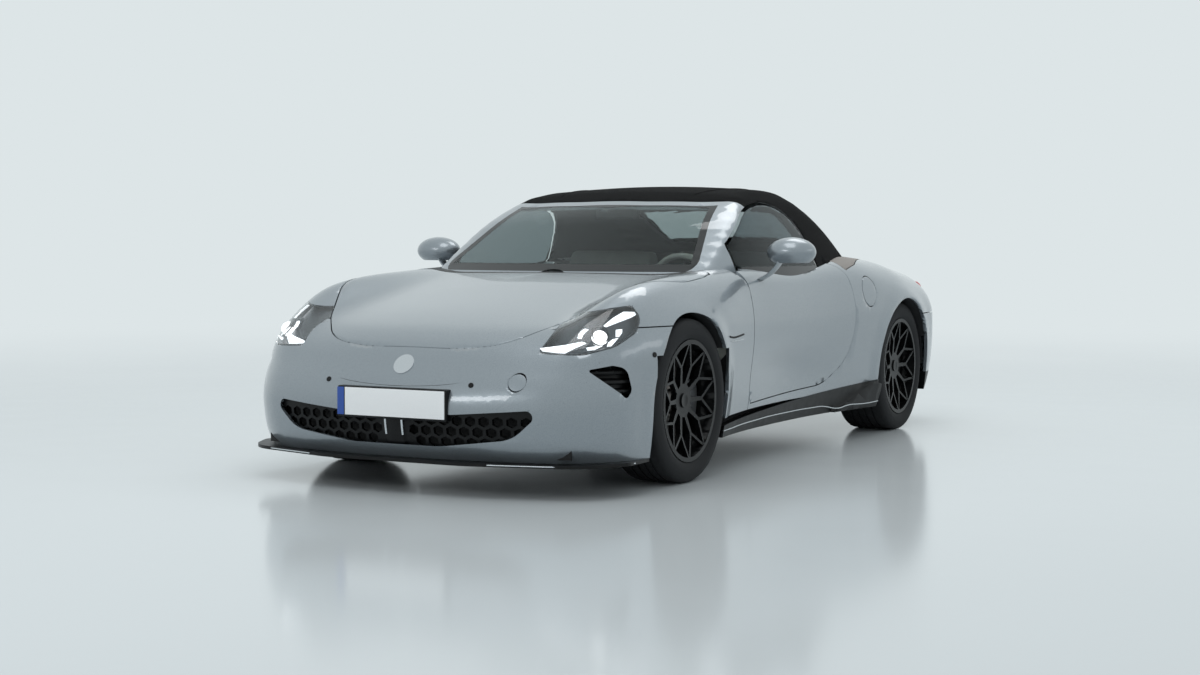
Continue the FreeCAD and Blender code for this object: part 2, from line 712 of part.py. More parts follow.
cowl_half = size("cowl_half_width")
front_rooms = wheel_room[:2] + [bonnet_room, lamp_room, mirrored(lamp_room)]
left_half = box_between(V(0, nose_end - over, 0), V(wide, tail_end + over, height))

cowl_front = from_nose("cowl_front")
cowl_block = box_between(V(-cowl_half, cowl_front, axis_height), V(cowl_half, door_front_y, height))
rear_edge_box = box_between(V(-wide, from_nose("bonnet_rear") - skin, axis_height), V(wide, 0, height))
swing_outline = grown(bonnet_outline, 1.7 * gap)
bonnet_swing = prism(rounded_wire(swing_outline), "plan", axis_height, height).common(rear_edge_box)
wing = outer_skin.common(prism(rounded_wire(wing_outline), "side", 0, wide))
wing = largest(wing.cut(front_rooms + [hinge_room, cabin_bulk, cowl_block, bonnet_swing]))
piece("front_wing_left", wing)
piece("front_wing_right", mirrored(wing))

bumper = front_skin.common(prism(rounded_wire(bumper_outline), "side", -wide, wide))
tow_at = V(size("tow_across"), nose_end, size("tow_height"))
tow_way = Part.makeCylinder(size("tow_cover_radius"), size("front_beam_back"), tow_at, V(0, 1, 0))
bumper = bumper.cut(front_rooms + [intake_prism, mirrored(intake_prism), grille_prism, tow_way])
piece("front_bumper", largest(bumper))

bonnet = largest(outer_skin.common(bonnet_prism))
piece("bonnet", bonnet)
cowl_inside = box_between(V(ease - cowl_half, cowl_front, axis_height),
                          V(cowl_half - ease, door_front_y, height))
piece("cowl_panel", largest(outer_skin.common(cowl_inside).cut([bonnet_room, bonnet_swing, cabin_bulk])))

quarter_region = prism(rounded_wire(quarter_outline), "side", 0, wide)
quarter_rooms = wheel_room[2:] + [door_room, tonneau_room, boot_room, tail_room, cabin_bulk]
piece("rear_quarter_left", largest(outer_skin.cut(flap_room).common(quarter_region).cut(quarter_rooms)))
piece("rear_quarter_right", mirrored(largest(outer_skin.common(quarter_region).cut(quarter_rooms))))
piece("charge_flap", largest(outer_skin.common(flap_prism)))

rear_region = prism(rounded_wire(rear_bumper_outline), "side", -wide, wide).fuse(tail_band)
piece("rear_bumper", largest(rear_skin.common(rear_region).cut(wheel_room[2:])))

opening_shares = ((.70, .30, .1), (.72, .66, .2), (.50, .765, .2))
opening = prism(rounded_wire(both_sides(plan_half(opening_shares, half_width))), "plan", axis_height, height)
tonneau = outer_skin.common(tonneau_prism).cut([opening, boot_room])
piece("tonneau_cover", largest(tonneau))
boot_lid = largest(outer_skin.common(boot_prism))
piece("boot_lid", boot_lid)

# Doors with their glass and mirrors

trim_line = size("door_trim_line")
sail_room = box_between(V(0, door_front_y - 2 * over, door_bottom), V(size("door_outer_line"),
                        door_front_y + size("door_sail"), height))
inboard = box_between(V(0, nose_end, 0), V(trim_line, tail_end, height))
glass_outline_shares = ((.371, .640, 0), (.372, .7585, .02), (.446, .8931, .5), (.4956, .9172, .5),
                        (.5287, .9067, .5), (.564, .8578, .3), (.5805, .7269, .3), (.5815, .640, 0))
glass_outline = stationed(glass_outline_shares, height)
glass_prism = prism(rounded_wire(glass_outline), "side", 0, wide)
glass_room = prism(rounded_wire(grown(glass_outline, size("glass_seal"))), "side", 0, wide)
slot_room = prism(rounded_wire(grown(glass_outline, ease)), "side", 0, wide)
slot = slab(cabin_form, cabin_grid, 0, pane + 2 * ease).common(slot_room)

door = door_skin.common(door_prism).cut([hinge_swing, sail_room, inboard])
door = largest(door.cut(slot))
door_glass = largest(glass_skin.common(glass_prism))
mirror_at = V(size("mirror_across"), from_nose("mirror_back"), size("mirror_height"))
shell_scale = FreeCAD.Matrix()
shell_scale.scale(V(size("mirror_length") / 2, size("mirror_depth") / 2, size("mirror_rise") / 2))
mirror_shell = Part.makeSphere(1).transformGeometry(shell_scale)
mirror_shell.translate(mirror_at)
mirror_reach = V(size("mirror_length"), size("mirror_depth"), size("mirror_rise"))
mirror_window = box_between(mirror_at + V(-mirror_reach.x, mirror_reach.y * .28, -mirror_reach.z),
                            mirror_at + V(mirror_reach.x, mirror_reach.y, mirror_reach.z))
mirror_under = box_between(mirror_at - mirror_reach,
                           mirror_at + V(mirror_reach.x, mirror_reach.y, -.36 * mirror_reach.z))
mirror_crown = box_between(mirror_at + V(-mirror_reach.x, -mirror_reach.y, mirror_reach.z / 2 - ease),
                           mirror_at + mirror_reach)
mirror_shell = mirror_shell.cut([mirror_window, mirror_under, mirror_crown])


def oval(at, along, thick):
    """Upright oval section of the mirror arm, square to the car's width."""
    edge = Part.Ellipse(V(), along, thick).toShape()
    edge.Placement = FreeCAD.Placement(at, PLANES["side"])
    return Part.Wire(edge)


stalk = size("mirror_stalk")
stalk_y = mirror_at.y - size("mirror_depth") * .2
foot_across = size("door_outer_line") + over / 2
foot_up = size("mirror_foot_height")
stalk_rise = mirror_at.z - .3 * size("mirror_rise") - foot_up
arm_middle = V((foot_across + mirror_at.x) / 2, stalk_y, foot_up + stalk_rise * .45)
arm_top = V(mirror_at.x - over, stalk_y, foot_up + stalk_rise)
mirror_arm = Part.makeLoft([oval(V(foot_across, stalk_y, foot_up), stalk * 1.6, stalk * .45),
                            oval(arm_middle, stalk * 1.3, stalk * .42),
                            oval(arm_top, stalk * 1.4, stalk * .6)], True)
mirror_shell = mirror_shell.fuse(mirror_arm).cut(slab(body_form, flank_rays, -ease, size("door_thickness")))
for side in ("left", "right"):
    for label, shape in (("door_", door), ("door_glass_", door_glass), ("mirror_", largest(mirror_shell))):
        piece(label + side, shape if side == "left" else mirrored(shape))

# Windscreen, its frame, the fabric roof and the rear window

screen_shares = ((.725, .672, .03), (.555, .945, 0), (.53, .99, 0))
screen_outline = both_sides([(share[0] * half_width, share[1] * height, share[2] * height)
                             for share in screen_shares])
roof_shares_plan = ((.20, .4285, .5), (.48, .4370, .3), (.69, .4535, .1), (1.3, .4560, 0), (1.3, .99, 0))
roof_outline = both_sides(plan_half(roof_shares_plan, half_width))
roof_prism = prism(rounded_wire(roof_outline), "plan", cabin_axis, height * 1.1)
roof_room = prism(rounded_wire(grown(roof_outline, ease)), "plan", cabin_axis, height * 1.1)
header = size("header_width")
header_prism = prism(rounded_wire(grown(roof_outline, header)), "plan", cabin_axis, height * 1.1)
header_inside = prism(rounded_wire(grown(roof_outline, header - ease)), "plan", cabin_axis, height * 1.1)
screen_near = -size("wheelbase") * .1
screen_prism = facing_front(screen_outline, screen_near, -nose_end).cut(header_prism)
screen_room = facing_front(grown(screen_outline, ease), screen_near, -nose_end).cut(header_inside)
frame_foot = .649 * height
frame_shares = ((.24, .649), (.3695, .649), (.3705, .752), (.40, .78), (.47, .88), (.47, 1.05), (.24, 1.05))
frame_region = prism(rounded_wire([(nose_end + share[0] * length, share[1] * height, 0)
                                   for share in frame_shares]), "side", -wide, wide)
frame = frame_skin.common(frame_region).cut([screen_room, roof_room, bonnet_room])
frame = frame.cut([door_glass_room for door_glass_room in (glass_room, mirrored(glass_room))])
piece("windscreen_frame", largest(frame))
piece("windscreen", largest(glass_skin.common(screen_prism)))

deck = bulk(body_form, main_rays, -5 * ease)
rear_glass_shares = ((.45, .655, .07), (.40, .752, .07))
rear_glass_outline = both_sides(plan_half(rear_glass_shares, half_width))
rear_glass_room = prism(rounded_wire(grown(rear_glass_outline, ease)), "plan", cabin_axis, height)
rear_glass_prism = prism(rounded_wire(rear_glass_outline), "plan", cabin_axis, height)
roof_rooms = [glass_room, mirrored(glass_room), rear_glass_room, deck]
piece("soft_top", largest(cloth_skin.common(roof_prism).cut(roof_rooms)))
piece("rear_window", largest(glass_skin.common(rear_glass_prism)))

# Lamps, grilles and the black lower trim

for side in ("left", "right"):
    piece("headlamp_" + side, lens if side == "left" else mirrored(lens))
    piece("lamp_housing_" + side, largest(bowl if side == "left" else mirrored(bowl)))

recess = size("grille_recess")
cell = size("grille_cell")
grille_plate = slab(body_form, front_rays, recess, recess + size("grille_thickness"))
grille_plate = grille_plate.common(facing_front(grown(grille_outline, gap * 3), grille_near, grille_far))
cells = []
pitch = cell + size("grille_web")
columns = int(half_width / pitch)
for row_step in range(-2, 3):
    for column in range(-columns, columns + 1):
        across = (column + (row_step % 2) / 2) * pitch
        if abs(across) < size("strut_width") / 2 + cell * .6:
            continue
        up = .1655 * height + row_step * pitch * .75 / math.cos(math.radians(30)) * .86
        corners = [(across + cell / 2 * math.sin(math.radians(60 * turn)),
                    up + cell * .42 * math.cos(math.radians(60 * turn)), 0) for turn in range(6)]
        cells.append(facing_front(corners, grille_near, grille_far))
grille = largest(grille_plate.cut(cells))
strut_block = facing_front([(size("strut_width") / 2 * across, height * up, 0) for across, up in
                            ((-1, .152), (1, .152), (1, .249), (-1, .249))], grille_near, grille_far)
strut = slab(body_form, front_rays, skin * .4, recess + size("grille_thickness") / 2).common(strut_block)
piece("lower_grille", largest(grille.fuse(strut)))

intake_near = size("intake_recess")
intake_plate = slab(body_form, front_rays, intake_near, intake_near + size("intake_thickness"))
intake_plate = intake_plate.common(turned_prism(grown(intake_outline, gap * 2), intake_at,
                                                -lamp_reach / 2, lamp_reach))
slots = []
for step in range(4):
    up = intake_at.z + (step - 1.7) * intake_half * .30
    slots.append(box_between(V(half_width * .6, nose_end, up - intake_half * .09),
                             V(wide, front_pole, up + intake_half * .09)))
slot_depth = slab(body_form, front_rays, 0, intake_near + size("intake_thickness") * .7)
slots = [one.common(slot_depth) for one in slots]
intake = largest(intake_plate.cut(slots))
piece("side_intake_left", intake)
piece("side_intake_right", mirrored(intake))

splitter_shares = ((.35, 0, .4), (.86, .0300, .35), (.962, .075, .05), (.955, .118, .02), (.80, .118, .02),
                   (.66, .082, .3), (.25, .062, .3))
splitter_outline = both_sides(plan_half(splitter_shares, half_width))
splitter = prism(rounded_wire(splitter_outline), "plan", size("ground_clearance"),
                 size("ground_clearance") + size("splitter_thickness")).cut(wheel_room[:2])
piece("front_splitter", largest(splitter))

skirt_low = size("ground_clearance") + 2 * size("splitter_thickness")
skirt_front = front_axle + arch_radius - over
skirt_rear = rear_axle - arch_radius + over
skirt_outline = [(skirt_front, skirt_low, 0), (skirt_rear, skirt_low, 0),
                 (skirt_rear, skirt_line(skirt_rear) - ease, 0),
                 (skirt_front, skirt_line(skirt_front) - ease, 0)]
skirt = slab(body_form, skirt_rays, -size("skirt_stand"), size("skirt_depth"))
skirt = skirt.common(prism(rounded_wire(skirt_outline), "side", 0, wide))
trim_round = size("trim_round")
fin_outline = [(rear_axle - 2.36 * arch_radius, skirt_low, trim_round),
               (rear_axle - 1.06 * arch_radius, skirt_low, trim_round),
               (rear_axle - .98 * arch_radius, skirt_low + .31 * arch_radius, trim_round),
               (rear_axle - 1.22 * arch_radius, skirt_low + .37 * arch_radius, 2.5 * trim_round)]
fin_stand = size("skirt_stand") + size("fin_stand")
fin = slab(body_form, skirt_rays, -fin_stand, size("skirt_depth") / 2)
fin = fin.common(prism(rounded_wire(fin_outline), "side", 0, wide))
behind_fin = box_between(V(0, nose_end, skirt_line(rear_axle - 1.3 * arch_radius)), V(wide, tail_end, height))
behind_fin = slab(body_form, skirt_rays, -ease, 2 * size("skirt_depth")).common(behind_fin)
skirt = skirt.fuse(fin.cut(behind_fin))
skirt = largest(skirt.cut(wheel_room))
piece("side_skirt_left", skirt)
piece("side_skirt_right", mirrored(skirt))

diffuser = slab(body_form, rear_rays, 0, 2 * skin)
diffuser_top = size("diffuser_height") - ease
diffuser_region = box_between(V(-wide, rear_axle, skirt_low + over), V(wide, tail_end, diffuser_top))
diffuser = diffuser.common(diffuser_region).cut(wheel_room[2:])
fins = []
for step in range(-2, 3):
    across = step * .16 * half_width
    outline = [(tail_end - .10 * length, skirt_low + over, 0),
               (tail_end - .022 * length, skirt_low + over, 2 * trim_round),
               (tail_end - .018 * length, size("diffuser_height") - 5 * ease, 0),
               (tail_end - .10 * length, size("diffuser_height") - 5 * ease, 0)]
    fins.append(prism(rounded_wire(outline), "side", across - skin / 3, across + skin / 3))
piece("rear_diffuser", largest(diffuser.fuse(fins)))

tail_lamp_shares = ((.86, .575, .01), (.90, .61, .01), (.30, .625, .2))
tail_lamp_outline = both_sides([(share[0] * half_width, share[1] * height, share[2] * height)
                                for share in tail_lamp_shares])
tail_lamp = slab(body_form, rear_rays, -2 * pane, -ease)
tail_lamp_prism = prism(rounded_wire(tail_lamp_outline), "front", -tail_end - over, -rear_axle)
piece("tail_lamp", largest(tail_lamp.common(tail_lamp_prism)))

# Floor, bulkheads and rails, as boxes bound to the sheet

def bound_box(name, low, high):
    """Box between two corners, each given as three expressions of the sheet."""
    box = doc.addObject("Part::Box", name)
    for prop, near, far in zip(("Length", "Width", "Height"), low, high):
        box.setExpression(prop, "(%s) - (%s)" % (far, near))
    for axis, near in zip("xyz", low):
        box.setExpression("Placement.Base." + axis, near)
    return box


def on_side(hand, inner, outer):
    """Near and far expressions across the car for one side of it."""
    if hand == "left":
        return inner, outer
    return "-(%s)" % outer, "-(%s)" % inner


tub_boxes = [
    bound_box("floor_sheet", ("-Sizes.sill_outer", "Sizes.cabin_start", "Sizes.floor_height"),
              ("Sizes.sill_outer", "Sizes.cabin_end", "Sizes.floor_height + Sizes.floor_plate")),
    bound_box("firewall",
              ("-Sizes.sill_outer", "Sizes.cabin_start - Sizes.floor_plate", "Sizes.floor_height"),
              ("Sizes.sill_outer", "Sizes.cabin_start", "Sizes.cowl_height")),
    bound_box("seat_bulkhead", ("-Sizes.sill_outer", "Sizes.cabin_end", "Sizes.floor_height"),
              ("Sizes.sill_outer", "Sizes.cabin_end + Sizes.floor_plate", "Sizes.bulkhead_height")),
    bound_box("cowl_beam", ("-Sizes.post_outer", "Sizes.cabin_start - Sizes.cowl_depth",
                            "Sizes.cowl_height - 3 * Sizes.floor_plate"),
              ("Sizes.post_outer", "Sizes.cabin_start", "Sizes.cowl_height")),
    bound_box("front_beam", ("-Sizes.front_beam_half", "Sizes.front_beam_at", "Sizes.rail_height"),
              ("Sizes.front_beam_half", "Sizes.front_beam_at + Sizes.rail_width",
               "Sizes.rail_height + 2 * Sizes.rail_width")),
    bound_box("rear_beam", ("-Sizes.rail_offset", "Sizes.rear_beam_at", "Sizes.rail_height"),
              ("Sizes.rail_offset", "Sizes.rear_beam_at + Sizes.rail_width",
               "Sizes.rail_height + 2 * Sizes.rail_width")),
    bound_box("deck_beam", ("-Sizes.rail_offset", "Sizes.deck_beam_at", "Sizes.deck_beam_low"),
              ("Sizes.rail_offset", "Sizes.deck_beam_at + Sizes.rail_width / 2", "Sizes.height * 0.76")),
]
for hand in ("left", "right"):
    spans = [
        ("sill", "Sizes.sill_outer - Sizes.sill_width", "Sizes.sill_outer",
         "Sizes.cabin_start - Sizes.cowl_depth", "Sizes.cabin_end + Sizes.rail_width",
         "Sizes.ground_clearance + Sizes.floor_plate", "Sizes.sill_top"),
        ("hinge_post", "Sizes.post_outer - Sizes.rail_width", "Sizes.post_outer",
         "Sizes.cabin_start - Sizes.cowl_depth", "Sizes.cabin_start", "Sizes.floor_height",
         "Sizes.cowl_height"),
        ("lock_post", "Sizes.post_outer - Sizes.rail_width", "Sizes.post_outer",
         "Sizes.cabin_end", "Sizes.cabin_end + Sizes.rail_width", "Sizes.floor_height",
         "Sizes.bulkhead_height"),
        ("front_rail", "Sizes.rail_offset - Sizes.rail_width", "Sizes.rail_offset",
         "Sizes.front_beam_at", "Sizes.cabin_start", "Sizes.rail_height",
         "Sizes.rail_height + 1.5 * Sizes.rail_width"),
        ("rear_rail", "Sizes.rail_offset - Sizes.rail_width", "Sizes.rail_offset",
         "Sizes.cabin_end", "Sizes.rear_beam_at + Sizes.rail_width", "Sizes.rail_height",
         "Sizes.rail_height + 1.5 * Sizes.rail_width"),
        ("deck_strut", "Sizes.rail_offset - Sizes.rail_width", "Sizes.rail_offset",
         "Sizes.deck_beam_at", "Sizes.deck_beam_at + Sizes.rail_width / 2", "Sizes.rail_height",
         "Sizes.deck_beam_low"),
    ]
    for name, inner, outer, back, ahead, bottom, top in spans:
        near, far = on_side(hand, inner, outer)
        tub_boxes.append(bound_box(name + "_" + hand, (near, back, bottom), (far, ahead, top)))
tub_blank = doc.addObject("Part::MultiFuse", "tub_blank")
tub_blank.Shapes = tub_boxes
doc.recompute()

core = bulk(body_form, main_rays, skin + 3 * ease)
bumper_edge = box_between(V(half_width - over, rear_axle + arch_radius / 2, 0), V(wide, tail_end, height * .38))
bumper_edges = [bumper_edge, mirrored(bumper_edge)]
liners = []
for axle, room, radius in ((front_axle, wheel_room[0], steer_reach), (rear_axle, wheel_room[2], arch_radius)):
    near = size("rail_offset") - ease
    ring = along_x(radius + size("liner_wall"), near, half_width, axle, tyre_radius)
    ring = ring.common(box_between(V(near, axle - length, tyre_radius), V(half_width, axle + length, height)))
    window = along_x(arch_radius / 2, near - over, half_width, axle, tyre_radius)
    liner = largest(ring.cut([room, window, bumper_edge]).common(core))
    liners += [liner, mirrored(liner)]
low_box = box_between(V(-half_width, nose_end, 0), V(half_width, tail_end, axis_height + 2 * over))
posts = tub_blank.Shape.common(low_box).fuse(tub_blank.Shape.common(core)).cut(wheel_room + bumper_edges)

bonnet_pin_at = V(size("post_outer"), from_nose("bonnet_hinge_back"), size("bonnet_hinge_height"))
pin_radius = size("pin_radius")
bonnet_pin = along_x(pin_radius, bonnet_pin_at.x - ease, bonnet_pin_at.x + over, bonnet_pin_at.y,
                     bonnet_pin_at.z)
boot_pin_at = V(size("boot_pin_across"), from_nose("boot_hinge_back"), size("boot_hinge_height"))
boot_pin = along_x(pin_radius, boot_pin_at.x - skin, boot_pin_at.x + over / 2, boot_pin_at.y, boot_pin_at.z)
boot_bracket = box_between(V(boot_pin_at.x - 2 * skin, size("deck_beam_at"), boot_pin_at.z - skin),
                           V(boot_pin_at.x - skin, boot_pin_at.y + skin * .7, boot_pin_at.z + skin * .6))
bonnet_bracket = box_between(V(bonnet_pin_at.x - skin, size("cabin_start") - over, bonnet_pin_at.z - skin),
                             V(bonnet_pin_at.x, bonnet_pin_at.y + skin * .6, frame_foot - ease))
door_pin = about_hinge(pin_radius, -size("door_pin_length"), -ease)
lug_inner = size("post_outer") - skin
lug_outer = hinge_at.x - size("door_pin_length") + skin
door_lug = box_between(V(lug_inner, hinge_at.y - over, hinge_at.z - over),
                       V(lug_outer, hinge_at.y + skin, hinge_at.z + skin * 2))
lug_arm = box_between(V(lug_inner, size("cabin_start") - over, hinge_at.z - over - skin),
                      V(lug_outer, hinge_at.y, hinge_at.z - skin))
door_lug = door_lug.fuse(lug_arm).common(core)
fittings = [bonnet_pin, bonnet_bracket, boot_pin, boot_bracket, door_pin, door_lug]
tow_hole_at = V(size("tow_across"), size("front_beam_at") - over / 4, size("tow_height"))
tow_hole = Part.makeCylinder(size("tow_radius"), 2 * over, tow_hole_at, V(0, 1, 0))
tub = posts.fuse(liners + fittings + [mirrored(fitting) for fitting in fittings]).cut(tow_hole)
piece("floor_tub", largest(tub).removeSplitter())

# Hinge arms of the bonnet, the boot lid and the doors

under_skin = bulk(body_form, main_rays, skin / 2)
eye_radius = pin_radius + gap
arm_near = bonnet_pin_at.x + 2 * gap
arm_far = bonnet_pin_at.x + over - gap
swan_drop = size("swan_drop")
bonnet_reach = bonnet_pin_at.y - from_nose("bonnet_rear")
bonnet_neck_shares = ((.1, .13), (.1, -1), (-1.3, -1), (-1.3, .4), (-1.09, .4), (-1.09, -.8), (-.1, -.8),
                      (-.1, .13))
boot_reach = boot_front - boot_pin_at.y
boot_neck_shares = ((-.11, .13), (-.11, -1.2), (1.43, -1.2), (1.43, .5), (1.19, .5), (1.19, -1), (.165, -1),
                    (.165, .13))
door_neck_shares = ((-.11, 0), (.33, -.98), (1.2, -.98), (1.2, -.68), (.95, -.72), (.5, -.78), (.12, 0))


def swan_neck(at, shares, reach, drop, near, far):
    """Neck that leaves an eye downward and comes up again past the edge of the next panel."""
    return prism(rounded_wire([(at.y + share[0] * reach, at.z + share[1] * drop, 0) for share in shares]),
                 "side", near, far)


def lid_arms(at, shares, reach, near, far):
    """Pair of hinge arms that run from eyes around the pins to the underside of a lid."""
    eye = along_x(eye_radius, near, far, at.y, at.z)
    hole = along_x(pin_radius + ease, near - over, far + over, at.y, at.z)
    arm = eye.fuse(swan_neck(at, shares, reach, swan_drop, near, far)).cut(hole).common(under_skin)
    return [arm, mirrored(arm)]


def with_arms(label, shape, arms):
    """A lid or door made one with its hinge arms."""
    item = next(one for one in sub_parts if one.Label == label)
    item.Shape = largest(shape.fuse(arms))


with_arms("bonnet", bonnet, lid_arms(bonnet_pin_at, bonnet_neck_shares, bonnet_reach, arm_near, arm_far))
boot_arms = lid_arms(boot_pin_at, boot_neck_shares, boot_reach, boot_pin_at.x - skin + gap,
                     boot_pin_at.x + over / 2 - gap / 2)
with_arms("boot_lid", boot_lid, boot_arms)
hinge_lead = size("door_hinge_lead")
neck_near = hinge_at.x - size("door_pin_length") + 4.5 * gap
neck_far = neck_near + 2 * gap
door_eye = about_hinge(eye_radius, gap * 4 - size("door_pin_length"), -3 * gap)
door_neck = swan_neck(hinge_at, door_neck_shares, hinge_lead, hinge_lead, neck_near, neck_far)
door_foot = box_between(V(neck_near, door_front_y, hinge_at.z - .98 * hinge_lead),
                        V(neck_far, door_front_y + skin * .8, hinge_at.z - .66 * hinge_lead))
door_hole = about_hinge(pin_radius + ease, -2 * size("door_pin_length"), 0)
door_arm = door_eye.fuse([door_neck, door_foot]).cut(door_hole)
with_arms("door_left", door, [door_arm])
with_arms("door_right", mirrored(door), [mirrored(door_arm)])

# Cabin

cabin_start = from_nose("firewall_back")


def side_prism(corners, near, far):
    return prism(rounded_wire(corners), "side", near, far)


dash_half = size("dash_half_width")
dash_shares = ((0, .50, .5), (0, .632, .33), (.26, .655, 1), (.275, .55, .67), (.18, .47, 1))


def cabin_outline(shares, radius_unit):
    """Side outline: stations in shares of the cabin's length, heights in shares of height."""
    return [(cabin_start + ease + share[0] * size("cabin_length"), share[1] * height, share[2] * radius_unit)
            for share in shares]


dash = side_prism(cabin_outline(dash_shares, size("dash_round")), -dash_half, dash_half)
wheel_at = V(size("seat_offset"), from_nose("steering_back"), size("steering_height"))
tilt = math.radians(size("steering_tilt"))
wheel_axis = V(0, math.cos(tilt), math.sin(tilt))
column_foot = wheel_at - wheel_axis * (7 * over + ease)
column = Part.makeCylinder(size("column_radius"), 6 * over, column_foot, wheel_axis)
piece("dashboard", largest(dash.fuse(column)))
wheel_ring = Part.makeTorus(size("steering_wheel_radius"), size("steering_grip"), wheel_at, wheel_axis)
wheel_hub = Part.makeCylinder(size("column_radius") * 2, over, wheel_at - wheel_axis * over, wheel_axis)
spokes = []
for turn in (0, 180, 270):
    spoke = box_between(V(-size("steering_grip"), 0, -size("steering_grip") / 2),
                        V(size("steering_grip"), size("steering_wheel_radius"), size("steering_grip") / 2))
    lean = FreeCAD.Rotation(V(0, 0, 1), wheel_axis).multiply(FreeCAD.Rotation(V(0, 0, 1), turn + 90))
    spoke.Placement = FreeCAD.Placement(wheel_at, lean)
    spokes.append(spoke)
piece("steering_wheel", wheel_ring.fuse([wheel_hub] + spokes))

console_half = size("console_width") / 2
floor_top = size("floor_height") + size("floor_plate") + ease
console_shares = ((.30, .1, 0), (.30, .44, 1), (.62, .40, 1), (.96, .42, .67), (.96, .1, 0))
console = side_prism(cabin_outline(console_shares, size("console_round")), -console_half, console_half)
above_floor = box_between(V(-console_half, nose_end, floor_top), V(console_half, tail_end, height))
piece("centre_console", console.common(above_floor))
seat_half = size("seat_width") / 2
seat_front = cabin_start + .40 * size("cabin_length")
seat_round = size("seat_round")
seat_shares = ((-.2, .335, .83), (1.75, .305, 1), (2.35, .745, 1), (2.75, .735, 1))
seat_outline = [(seat_front + share[0] * seat_half, share[1] * height, share[2] * seat_round)
                for share in seat_shares]
seat_outline = [(seat_front, floor_top, .33 * seat_round)] + seat_outline
seat_outline.append((seat_front + 2.45 * seat_half, floor_top, .5 * seat_round))
seat = side_prism(seat_outline, size("seat_offset") - seat_half, size("seat_offset") + seat_half)
piece("seat_left", seat)
piece("seat_right", mirrored(seat))
glass_back = slab(cabin_form, cabin_grid, -over, pane + 2 * ease)
cabin_mirror = box_between(V(-.12 * half_width, nose_end + .43 * length, .862 * height),
                           V(.12 * half_width, nose_end + .436 * length, .905 * height))
mirror_stem = box_between(V(-skin, nose_end + .40 * length, .885 * height),
                          V(skin, nose_end + .43 * length, .8966 * height))
piece("cabin_mirror", largest(cabin_mirror.fuse(mirror_stem).cut(glass_back)))

# Battery pack and drive units, each a plain block

battery = bound_box("battery_block", ("-Sizes.battery_width / 2", "Sizes.battery_start",
                                      "Sizes.floor_height - Sizes.seat_clearance - Sizes.battery_thickness"),
                    ("Sizes.battery_width / 2", "Sizes.battery_start + Sizes.battery_length",
                     "Sizes.floor_height - Sizes.seat_clearance"))
battery.Label = "battery_pack"
sub_parts.append(battery)
for name, centre in (("front", "Sizes.front_axle_at"), ("rear", "Sizes.rear_axle_at")):
    unit = doc.addObject("Part::Cylinder", name + "_drive_unit")
    unit.setExpression("Radius", "Sizes.drive_radius")
    unit.setExpression("Height", "Sizes.drive_length")
    unit.setExpression("Placement.Base.x", "-Sizes.drive_length / 2")
    unit.setExpression("Placement.Base.y", centre)
    unit.setExpression("Placement.Base.z", "Sizes.tyre_radius")
    unit.setExpression("Placement.Rotation.Angle", "90")
    unit.setExpression("Placement.Rotation.Axis.x", "0")
    unit.setExpression("Placement.Rotation.Axis.y", "1")
    unit.setExpression("Placement.Rotation.Axis.z", "0")
    unit.Label = name + "_drive_unit"
    sub_parts.append(unit)

# Wheels: a revolved tyre sketch, and a rim of split spokes

def sheet_value(text):
    """Value of an expression, read through a spare cell of the sheet."""
    sheet.set("D1", "=" + text.replace("Sizes.", ""))
    sheet.recompute()
    return float(sheet.get("D1"))


def tyre(label, width_alias, centre_x, axle):
    body = doc.addObject("PartDesign::Body", label)
    body.Label = label
    sketch = body.newObject("Sketcher::SketchObject", label + "_profile")
    plane = [one for one in body.Origin.OriginFeatures if one.Role == "XY_Plane"][0]
    sketch.AttachmentSupport = [(plane, "")]
    sketch.MapMode = "FlatFace"
    bead = "(Sizes.rim_radius - Sizes.rim_lip - Sizes.rim_wall / 5)"
    mid = "(Sizes.rim_radius + Sizes.tyre_radius) / 2"
    half = "Sizes." + width_alias + " / 2"
    corners = [
        (half + " - Sizes.rim_wall * 2.4", bead),
        (half + " - Sizes.rim_wall * 2.4", "Sizes.rim_radius + 2 * Sizes.seat_clearance"),
        (half + " - Sizes.rim_wall * 1.2", "Sizes.rim_radius + Sizes.rim_wall"),
        (half, mid), (half + " - Sizes.tyre_shoulder / 4", "Sizes.tyre_radius - Sizes.tyre_shoulder * 0.7"),
        (half + " - Sizes.tyre_shoulder * 0.5", "Sizes.tyre_radius - Sizes.tyre_shoulder * 0.25"),
        (half + " - Sizes.tyre_shoulder", "Sizes.tyre_radius"),
    ]
    corners += [("-(" + across + ")", up) for across, up in reversed(corners)]
    count = len(corners)
    guess = [V(sheet_value(across), sheet_value(up), 0) for across, up in corners]
    for i in range(count):
        sketch.addGeometry(Part.LineSegment(guess[i], guess[(i + 1) % count]))
    for i in range(count):
        sketch.addConstraint(Sketcher.Constraint("Coincident", i, 2, (i + 1) % count, 1))
    for i in range(count):
        for kind, text, value in (("DistanceX", corners[i][0], guess[i].x),
                                  ("DistanceY", corners[i][1], guess[i].y)):
            number = sketch.addConstraint(Sketcher.Constraint(kind, -1, 1, i, 1, value))
            sketch.setExpression("Constraints[%d]" % number, text)
    turn = body.newObject("PartDesign::Revolution", label + "_ring")
    turn.Profile = sketch
    turn.ReferenceAxis = (sketch, ["H_Axis"])
    turn.Angle = 360
    body.Placement = FreeCAD.Placement(V(centre_x, axle, tyre_radius), FreeCAD.Rotation())
    sub_parts.append(body)
    return body


hub_radius = size("hub_radius")
rim_radius = size("rim_radius")
rim_lip = size("rim_lip")
rim_wall = size("rim_wall")


